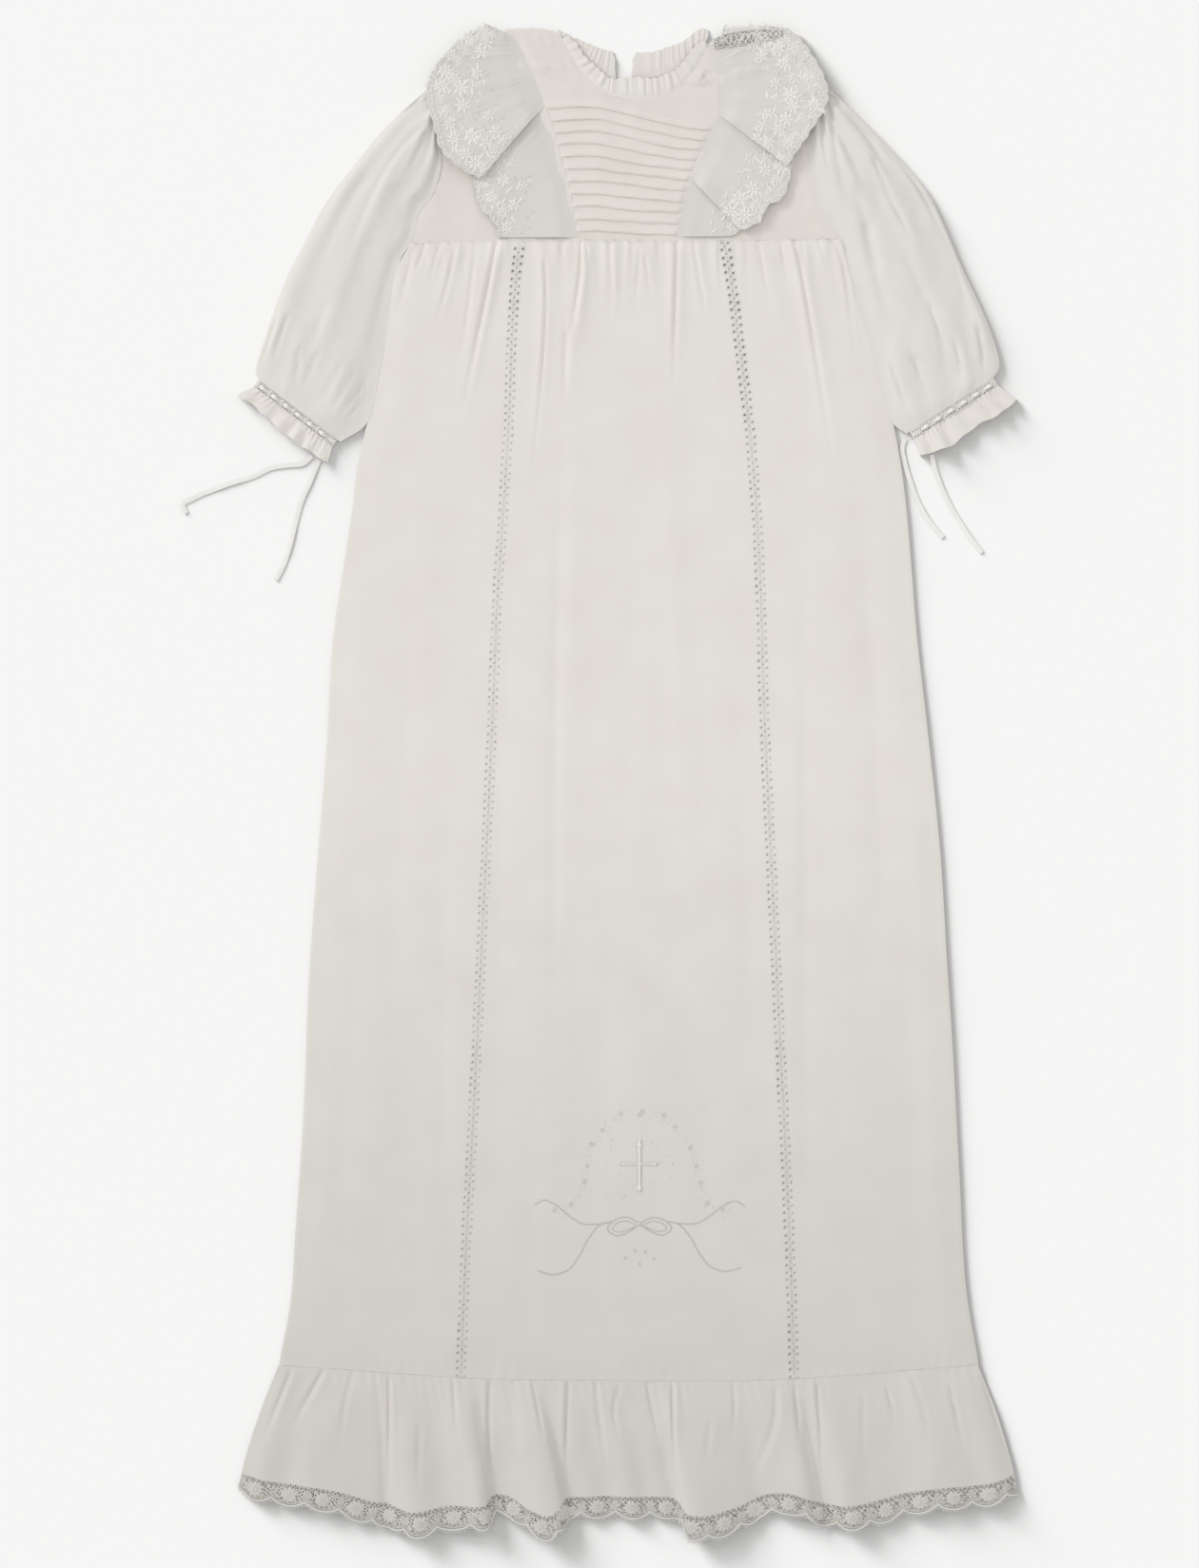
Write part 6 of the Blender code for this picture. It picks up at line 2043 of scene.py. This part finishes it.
@dataclass
class SkirtTrims:
    """Insertion lace and embroidery of the front skirt."""

    wardrobe: Wardrobe
    skirt: Skirt

    def face(self, x: Array, y: Array) -> Array:
        """Points of the skirt's outer side."""
        return stacked(x, y, self.skirt.face(x, y))

    def build(self) -> None:
        """Makes the lace of both strips, the embroidery and the stitched seams."""
        for side in ("right", "left"):
            self.insertion(side)
        for name, draw, finish in (
            ("skirt_embroidery", self.cross, Cloth.STITCH),
            ("skirt_bow_embroidery", self.bow, Cloth.STEM),
            ("seam_stitches", self.seams, Cloth.SEAM),
            ("skirt_arch_embroidery", self.arch, Cloth.PALE),
        ):
            work = Needlework(Ground(self.face, (0.3, 0.3)))
            draw(work)
            self.wardrobe.add(name, work.form(), finish)

    def seams(self, work: Needlework) -> None:
        """Adds the stitched lines of the yoke seam and the hem seam, on the skirt's edges.

        Args:
            work: The needlework that takes the stitches.
        """
        for seam, off in ((yoke_seam_y, -0.7), (hem_seam_y, 0.7)):
            level = seam(0.0)
            x = np.linspace(side_x("right", level) + 2.5, side_x("left", level) - 2.5, 420)
            work.cord(stacked(x, seam(x) + off), 0.45, 0.08)

    def insertion(self, side: str) -> None:
        """Makes one strip of lace.

        Small round openings stand in a column near each edge, each a dark disc of painted shade, the shadow
        seen through it, with a thread round it, and a wider eye of painted shade lies between two pairs of
        them. Two threads run down the middle as sine waves in antiphase.

        Args:
            side: The side of the wearer, "right" or "left".
        """
        strip = INSERTION[side]

        def surface(a: Array, y: Array) -> Array:
            """Points of the strip at distances from its middle line."""
            x = through(y, strip["y"], strip["x"]) + a
            return stacked(x, y, self.skirt.face(x, y) - 0.04)

        lace, hole_shade = (Needlework(Ground(surface, (0.3, 0.3))) for _ in range(2))
        middle = float(strip["x"].mean())
        y = np.linspace(yoke_seam_y(middle) - 0.3, hem_seam_y(middle) + 0.3, 760)
        pitch = 4.7
        rows = np.arange(y[-1] + 2.5, y[0] - 1.2, pitch)
        for sign in (-1, 1):
            foot, start = (0.8, 250) if side == "right" else (1.05, 190)
            size = foot + 0.25 * drift(rows, 0, 17, 122 + sign) + (1.6 - foot) * ease((rows - start) / 90)
            size = size * (0.75 if sign > 0 else 1) ** (1 - ease((rows - 150) / 120))
            away = sign * 2.35 + 0.25 * drift(rows, 0, 31, 125 + sign)
            places = stacked(away, rows + 0.3 * drift(rows, 0, 9, 127 + sign))
            # Painted shade: dark discs in the openings stand in for the shadow seen through them.
            hole_shade.stitch(Stitch.KNOT, places, 0, stacked(size, size, 0.12), 0.02)
            lace.stitch(Stitch.RING, places, 0, stacked(size + 0.9, size + 0.9, 0.12), 0.05)
            lace.cord(stacked(0.75 * sign * np.sin(np.pi * (y - rows[0]) / pitch), y), 0.55, 0.12, 0.05)
        eyes = rows[:-1] + pitch / 2
        size = np.clip(0.6 + 1.2 * drift(eyes, 0, 15, 129), 0.2, 2) + 1.3 * ease((eyes - 200) / 110)
        # Painted shade: the eyes between them are dark discs as well.
        hole_shade.stitch(Stitch.KNOT, stacked(0, eyes), 0, stacked(size, 0.7, 0.1), 0.02)
        self.wardrobe.add(f"insertion_lace_{side}", lace.form(), Cloth.LACE, "cotton_lace")
        self.wardrobe.add(f"insertion_holes_{side}", hole_shade.form(), Cloth.SHADE, "cotton_lace")

    def cross(self, work: Needlework) -> None:
        """Adds the cross: satin bars that swell at their ends, between fine outlines.

        Args:
            work: The needlework that takes the stitches.
        """
        x, y = CROSS_CENTRE
        for ends, thick, widths in (
            (((x, y + 15.5), (x, y - 17.5)), 2.8, (1.6, 4.0, 2.8, 2.4, 2.4, 2.5, 3.4, 1.8)),
            (((x - 12.5, y), (x + 12.0, y)), 1.5, (0.8, 2.2, 2.0, 1.4, 1.4, 2.0, 2.2, 0.8)),
        ):
            share = np.linspace(0, 1, 40)
            line = mix(np.array(ends[0]), np.array(ends[1]), share[:, None])
            width = through(share, np.linspace(0, 1, len(widths)), np.array(widths))
            work.cord(line, thick, 0.6)
            work.stitch(Stitch.KNOT, line[[4, -4]], 0, (1.4 * thick, 1.4 * thick, 0.75), 0.1)
            for sign in (-1, 1):
                across = unit((line[-1] - line[0])[::-1] * (1, -1))
                work.cord(line + sign * (width[:, None] / 2 + 0.4) * across, 0.4, 0.15)

    def bow(self, work: Needlework) -> None:
        """Adds the bow and its tails in stem stitch, on both sides of the knot.

        Args:
            work: The needlework that takes the stitches.
        """
        knot = np.array(BOW_KNOT)
        for mirror in (-1, 1):
            for number, curve in enumerate(BOW_CURVES):
                line = smooth_line(curve, 90)
                if mirror < 0:
                    line = line * (1, 1.06) + (0.4, -0.3 if number > 1 else 0)
                line = knot + line * (mirror, 1)
                work.satin(line, 1.1 if number != 1 else 0.75, 0.75, 0.6)
        work.stitch(Stitch.KNOT, knot[None] - (0, 0.6), 0, (3.0, 2.6, 0.7))

    def arch(self, work: Needlework) -> None:
        """Adds the arch: small blossoms, leaves on both sides and loose seed stitches, without a stem.

        Args:
            work: The needlework that takes the stitches.
        """
        knot = np.array(BOW_KNOT)
        random = np.random.default_rng(131)
        for mirror in (-1, 1):
            line = knot + smooth_line(ARCH, 160) * (mirror * (0.97 if mirror < 0 else 1.0), 1)
            angle = heading(line)
            at = np.arange(6, 156, 5)
            for sign in (-1, 1):
                turn = angle[at] + sign * random.uniform(0.6, 1.1, len(at))
                length = random.uniform(1.8, 3.0, len(at))
                places = line[at] + random.normal(0, 1.2, (len(at), 2))
                work.stitch(Stitch.LEAF, places, turn, stacked(length, length * 0.42, 0.2))
            at = np.arange(10, 158, 21)
            places = line[at] + random.uniform(-2.2, 2.2, (len(at), 2))
            work.blossoms(places, random.uniform(0, 6, len(at)), random.uniform(2.0, 2.9, len(at)), 6)
            seeds = line[random.integers(0, 160, 46)] + random.normal(0, 1, (46, 2)) * (4.5, 3.5)
            turn = random.uniform(0, 6, 46)
            work.stitch(Stitch.GRAIN, seeds, turn, stacked(random.uniform(0.8, 1.5, 46), 0.6, 0.35))
        inside = knot + random.uniform((-24, 12), (24, 52), (34, 2))
        far = np.abs(inside - CROSS_CENTRE).max(axis=1) > 11
        work.stitch(Stitch.KNOT, inside[far], 0, (0.9, 0.9, 0.4))
        spray = knot + ((-9.0, -22.0), (-3.0, -17.5), (3.5, -18.0), (9.0, -22.5), (0.0, -26.0))
        work.blossoms(spray, random.uniform(0, 6, 5), random.uniform(1.6, 2.4, 5), 5)


@dataclass
class HemTrims:
    """The lace at the hem: blossoms on net, a row of openings along the top and spots round the blossoms
    shown as dark discs of painted shade, and a scalloped cord.
    """

    wardrobe: Wardrobe
    hem: Hem

    def build(self) -> None:
        """Makes the lace's raised threads along the whole hem."""
        fine, run = self.hem.free_edge()
        pitch, middle = self.hem.scallop_pitch, 0.918
        work = Needlework(Ground(self.hem.surface, (0.05, 0.004)))
        random = np.random.default_rng(141)
        top, foot = 1 - self.hem.lace_share + 0.006, 0.992

        def at(length: Array, v: Array | float) -> Array:
            """Places of the ruffle at a length along its edge and a share of its depth."""
            return stacked(np.interp(length, run, fine), v)

        half = pitch / 2
        middles = np.arange(half, run[-1], pitch)
        places, count = at(middles, middle), len(middles)
        work.blossoms(places, random.uniform(0, 6, count), random.uniform(5.2, 6.0, count), 10, 0.55)
        work.stitch(Stitch.KNOT, places, 0, (6.5, 6.0, 0.5), 0.2)
        work.stitch(Stitch.RING, places, 0, (2.6, 2.6, 0.5), 0.6)
        between = np.arange(0.8, run[-1], pitch)
        for v, reach in ((0.898, 3.2), (0.94, 2.6)):
            turn = random.uniform(0, 6, len(between))
            work.blossoms(at(between, v), turn, random.uniform(0.85, 1.1, len(between)) * reach, 6, 0.5)
        rings = np.arange(1.5, run[-1] - 1, 2.8)
        work.stitch(Stitch.RING, at(rings, top + 0.012), 0, (2.1, 2.1, 0.4), 0.1)
        # Painted shade: dark discs and dashes along the top and round the blossoms stand in for the shadow
        # seen through the lace's openings.
        hole_shade = Needlework(work.ground)
        size = 0.9 + 0.6 * drift(rings, 0, 9, 143)
        hole_shade.stitch(Stitch.KNOT, at(rings, top + 0.012), 0, stacked(size, size, 0.1), 0.14)
        for count, low, high in ((260, top + 0.02, top + 0.05), (300, 0.885, 0.97)):
            spots = random.uniform(1.5, run[-1] - 1.5, count)
            near = np.abs((spots / pitch) % 1 - 0.5) * pitch
            spots = spots[(near > 4.6) & (near < 8.5)] if low > 0.88 else spots
            size = random.uniform(0.8, 1.9, len(spots))
            places = at(spots, random.uniform(low, high, len(spots)))
            turn = random.uniform(0, 3, len(spots))
            hole_shade.stitch(Stitch.KNOT, places, turn, stacked(size, size * 0.6, 0.1), 0.16)
        for shade in np.linspace(-0.8, 0.8, 5):
            places = at(middles + 6.2 * shade, 0.966 - 0.012 * abs(shade))
            hole_shade.stitch(Stitch.KNOT, places, 0.4 * shade, (2.4, 0.8, 0.1), 0.16)
        self.wardrobe.add("hem_lace_hole_shade", hole_shade.form(), Cloth.TURNED_SHADE, "cotton_lace")
        sprays = np.concatenate([middles - 6.4, middles + 6.4])
        for v, turn in ((0.965, 0.4), (0.88, -0.5)):
            for flip in (0.0, np.pi):
                work.stitch(Stitch.LEAF, at(sprays, v), turn + flip, (3.4, 1.5, 0.4))
        length = np.linspace(0, run[-1], 1150)
        work.cord(at(length, foot - 0.012), 0.9, 0.4, 0.1)
        inner = 0.968 - 0.012 * np.abs(np.cos(np.pi * length / half))
        work.cord(at(length, inner), 0.7, 0.3, 0.08)
        self.wardrobe.add("hem_lace_threads", work.form(), Cloth.MOTIF, "cotton_lace")
        rim = Needlework(work.ground)
        rim.cord(at(length, foot + 0.004), 1.6, 0.6, 0.2)
        picots = np.arange(1.2, run[-1] - 1, 2.75)
        rim.stitch(Stitch.RING, at(picots, 1.006), 0, (2.0, 2.0, 0.45), 0.05)
        self.wardrobe.add("hem_lace_rim", rim.form(), Cloth.STITCH, "cotton_lace")


@dataclass
class FlounceTrims:
    """White embroidery on one shoulder flounce."""

    wardrobe: Wardrobe
    flounce: Flounce

    def build(self) -> None:
        """Makes the satin rim, the band of daisies and leaves, and the eyelets."""
        side = self.flounce.side
        last = self.flounce.run[-1]
        random = np.random.default_rng(151 if side == "right" else 152)
        work = Needlework(Ground(self.flounce.surface, (0.4, 0.01)))
        rim = np.linspace(0.5, last - 0.5, 900)
        work.cord(stacked(rim, 0.985), 0.8, 0.3, 0.05)
        strokes = np.arange(1, last - 1, 1.5)
        strokes = strokes + random.uniform(-0.5, 0.5, len(strokes))
        turn = np.pi / 2 + random.uniform(-0.7, 0.7, len(strokes))
        length = random.uniform(2.0, 4.6, len(strokes))
        places = stacked(strokes, 0.985 - 0.016 * length)
        work.stitch(Stitch.LEAF, places, turn, stacked(length, 1.0, 0.45), 0.1)
        work.cord(stacked(rim, 0.955 - 0.012 * np.abs(np.sin(np.pi * rim / 4.5))), 0.6, 0.25, 0.05)
        for v, pitch, reach, petals in ((0.86, 10.5, 5.0, 8), (0.68, 12.0, 5.4, 7), (0.5, 15.0, 4.4, 6)):
            s = np.arange(pitch / 2, last - 2, pitch)
            s = s + random.uniform(-0.25, 0.25, len(s)) * pitch
            places = stacked(s, v + random.uniform(-0.035, 0.035, len(s)))
            turn = random.uniform(0, 6, len(s))
            work.blossoms(places, turn, reach * random.uniform(0.6, 1.25, len(s)), petals, 0.35)
        count = int(last * 1.3)
        s = random.uniform(1, last - 1, count)
        places = stacked(s, 0.42 + 0.52 * random.uniform(0, 1, count) ** 0.7)
        length = random.uniform(2.8, 7.0, count)
        work.stitch(Stitch.LEAF, places, random.uniform(0, 6.3, count), stacked(length, 0.26 * length, 0.6))
        count = int(last * 0.22)
        places = stacked(random.uniform(1, last - 1, count), random.uniform(0.5, 0.92, count))
        work.stitch(Stitch.RING, places, 0, (2.0, 2.0, 0.55), 0.1)
        stems = np.arange(8, last - 8, 16.0)
        stems = stems + random.uniform(-3, 3, len(stems))
        for stem, lean in zip(stems, random.uniform(-7, 7, len(stems))):
            v = np.linspace(0.36, 0.9, 14)
            work.cord(stacked(stem + lean * np.sin((v - 0.36) * 4), v), 0.5, 0.25)
        self.wardrobe.add(f"flounce_embroidery_{side}", work.form(), Cloth.FLOSS)
        if side == "left":
            self.turn_back(random)

    def turn_back(self, random: np.random.Generator) -> None:
        """Makes the strip of openwork turned over along the shoulder: a ground darkened with painted shade,
        the shadow on the strip's underside, with thick stitches.

        Args:
            random: The flounce's source of random numbers.
        """

        def surface(a: Array, b: Array) -> Array:
            """Points of the strip, which lies on the flounce.

            Args:
                a: Lengths along the strip.
                b: Shares of its width.

            Returns:
                Points.
            """
            x, b = np.broadcast_arrays(TURNBACK["x"][0] + a, b)
            top, foot = (through(x, TURNBACK["x"], TURNBACK[key]) for key in ("top", "foot"))
            y = mix(top, foot, b)
            return stacked(x, y, self.flounce.height(x, y) + 0.35)

        length = TURNBACK["x"][-1] - TURNBACK["x"][0]
        # Painted shade: the ground's dark colour stands in for the shadow on the turned strip's underside.
        ground = surface(np.linspace(0, length, 48)[:, None], np.linspace(0, 1, 12)[None])
        self.wardrobe.add("flounce_turnback_painted_shade", cloth(ground, 0.2), Cloth.TURNED_SHADE, "cotton_batiste")
        work = Needlework(Ground(surface, (0.3, 0.02)))
        line = np.linspace(0.3, length - 0.3, 120)
        for at, wave in ((0.03, 0.0), (0.97, 0.03), (0.5, 0.3), (0.5, -0.3)):
            work.cord(stacked(line, at + wave * np.sin(line * 0.9)), 0.6, 0.35, 0.05)
        places = stacked(random.uniform(0.8, length - 2, 70), random.uniform(0.08, 0.92, 70))
        reach = random.uniform(1.8, 4.0, 70)
        work.stitch(Stitch.LEAF, places, random.uniform(0, 6.3, 70), stacked(reach, 0.8, 0.45), 0.1)
        self.wardrobe.add("flounce_turnback_stitches", work.form(), Cloth.STITCH)


@dataclass
class CuffTrims:
    """The ribbon woven through the beading lace of one cuff, and dark discs of painted shade in the lace's
    small openings.
    """

    wardrobe: Wardrobe
    sleeve: Sleeve

    def build(self) -> None:
        """Makes lace and ribbon of the band."""
        side = self.sleeve.side
        ground = Ground(self.sleeve.band_surface, (0.2, 0.2))
        lace, ribbon = Needlework(ground), Needlework(ground)
        length, half = self.sleeve.cuff_length, self.sleeve.band_width / 2
        run = np.linspace(1.2, length - 1.2, 260)
        dots = np.arange(2.0, length - 1.4, 1.9)
        for away in (-half + 0.35, half - 0.35):
            lace.cord(stacked(run, away), 0.7, 0.3, 0.05)
            lace.stitch(Stitch.RING, stacked(dots, away * 0.86), 0, (1.7, 1.5, 0.5), 0.1)
        starts = np.arange(3.0, length - 6.0, 9.4)
        for start in starts:
            t = np.linspace(0, 5.8, 16)
            for away in (-0.55, 0.0, 0.55):
                ribbon.cord(stacked(start + t, away), 1.3, 0.12, 0.35)
            ribbon.stitch(Stitch.KNOT, [(start + 2.6, 0.0)], 0, (4.6, 3.3, 1.4), 0.4)
        # Painted shade: dark discs stand in for the shadow seen through the band's small openings.
        hole_shade = Needlework(ground)
        for away, size in ((-half + 0.5, 0.55), (half - 0.5, 0.9)):
            hole_shade.stitch(Stitch.KNOT, stacked(dots, away * 0.86), 0, (size, size, 0.1), 0.16)
        self.wardrobe.add(f"cuff_holes_{side}", hole_shade.form(), Cloth.SHADE, "cotton_lace")
        rise = np.linspace(0, 1, 16)
        taps = np.concatenate([starts - 0.8, [starts[-1] + 6.6]])
        lace.cord(stacked(run, 0.25 * np.sin(run * 2)), 0.3, 0.2)
        for tap in taps:
            lace.cord(stacked(tap, mix(-half + 0.4, half - 0.4, rise)), 0.9, 0.35, 0.25)
        self.wardrobe.add(f"cuff_lace_{side}", lace.form(), Cloth.LACE, "cotton_lace")
        self.wardrobe.add(f"cuff_ribbon_{side}", ribbon.form(), Cloth.SATIN, "satin_ribbon")


@dataclass
class Ribbons:
    """The four ribbon ends that hang from the cuffs."""

    wardrobe: Wardrobe
    width: float = 3.0

    def build(self) -> None:
        """Makes each ribbon as a flat band along a smooth curve, lying on the ground."""
        for name, route in RIBBON_ROUTES.items():
            points = np.array(route, float)
            length = lengths_along(points)
            at = np.linspace(0, length[-1], 160)
            line = stacked(through(at, length, points[:, 0]), through(at, length, points[:, 1]), 0)
            side = unit(np.cross(np.gradient(line, axis=0), (0, 0, 1.0)))
            across = np.linspace(-0.5, 0.5, 7)
            tilt = 0.35 * drift(at, 0, 30, 111)[:, None] * across[None]
            lift = 0.28 + 0.25 * ease(0.5 + 0.5 * drift(at, 0, 24, 112))[:, None]
            face = line[:, None] + side[:, None] * (self.width * across)[None, :, None]
            face[..., 2] = np.maximum(lift + tilt, 0.34) + 0.12 * (1 - (2 * across) ** 8)[None] - 0.1
            form = wall(face, face - (0, 0, 0.2))
            made = self.wardrobe.add(name, form, Cloth.SATIN, "satin_ribbon", node=name)


@dataclass
class Studio:
    """Floor, light and camera."""

    sky_colour: tuple[float, ...] = (1.0, 0.995, 0.985, 1)
    sky_strength: float = 0.79
    floor_tone: float = 0.642
    floor_half: float = 6.0
    lens: float = 90.0
    sensor: float = 36.0
    camera_place: tuple[float, float, float] = (-0.018, -0.0006, 2.472)

    def build(self) -> None:
        """Sets the pale floor, the soft overhead light, the low key from the upper left, and the camera."""
        scene = bpy.context.scene
        scene.view_settings.view_transform = "Standard"
        world = bpy.data.worlds.new("studio")
        world.use_nodes = True
        sky = world.node_tree.nodes["Background"].inputs
        sky["Color"].default_value = self.sky_colour
        sky["Strength"].default_value = self.sky_strength
        scene.world = world
        mesh = bpy.data.meshes.new("floor")
        half, tone = self.floor_half, self.floor_tone
        corners = [(x, y, -0.0002) for x, y in ((-half, -half), (half, -half), (half, half), (-half, half))]
        mesh.from_pydata(corners, [], [(0, 1, 2, 3)])
        shader = Shader("pale_floor")
        shader.join(shader.surface, Base_Color=(tone, tone, tone, 1), Roughness=0.95, Specular_IOR_Level=0.1)
        mesh.materials.append(shader.material)
        floor = bpy.data.objects.new("floor", mesh)
        scene.collection.objects.link(floor)
        key = self.lamp("key", 28.0, 16.0, 0.95, 0.33)
        low = self.lamp("floor_key", 14.0, 24.0, 6.5, 0.5)
        only = bpy.data.collections.new("floor_only")
        only.objects.link(floor)
        low.light_linking.receiver_collection = only
        camera = bpy.data.objects.new("camera", bpy.data.cameras.new("camera"))
        camera.data.lens = self.lens
        camera.data.sensor_width = self.sensor
        camera.location = self.camera_place
        camera.data.clip_end = 20
        scene.collection.objects.link(camera)
        scene.camera = camera

    def lamp(
        self, name: str, elevation: float, spread: float, strength: float, turn: float
    ) -> bpy.types.Object:
        """A sun from the upper left.

        Args:
            name: The lamp's name.
            elevation: Its angle above the ground in degrees.
            spread: The angle of its disc in degrees.
            strength: Its irradiance.
            turn: How far it stands up the picture from due left, as a share of a right angle.

        Returns:
            The lamp.
        """
        data = bpy.data.lights.new(name, "SUN")
        data.energy = strength
        data.angle = float(np.radians(spread))
        lamp = bpy.data.objects.new(name, data)
        azimuth = np.pi - turn * np.pi / 2
        lamp.rotation_euler = (0, float(np.radians(90 - elevation)), float(azimuth))
        bpy.context.scene.collection.objects.link(lamp)
        return lamp


def main() -> None:
    """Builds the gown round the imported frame."""
    logging.basicConfig(level=logging.INFO, format="%(name)s %(message)s")
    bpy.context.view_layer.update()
    wardrobe = Wardrobe()
    skirt, hem = Skirt(wardrobe), Hem(wardrobe)
    skirt.build()
    SkirtTrims(wardrobe, skirt).build()
    hem.build()
    HemTrims(wardrobe, hem).build()
    Yoke(wardrobe).build()
    for side in ("right", "left"):
        sleeve, flounce = Sleeve(wardrobe, side), Flounce(wardrobe, side)
        sleeve.build()
        CuffTrims(wardrobe, sleeve).build()
        flounce.build()
        FlounceTrims(wardrobe, flounce).build()
    Ribbons(wardrobe).build()
    Studio().build()


if __name__ == "__main__":
    main()
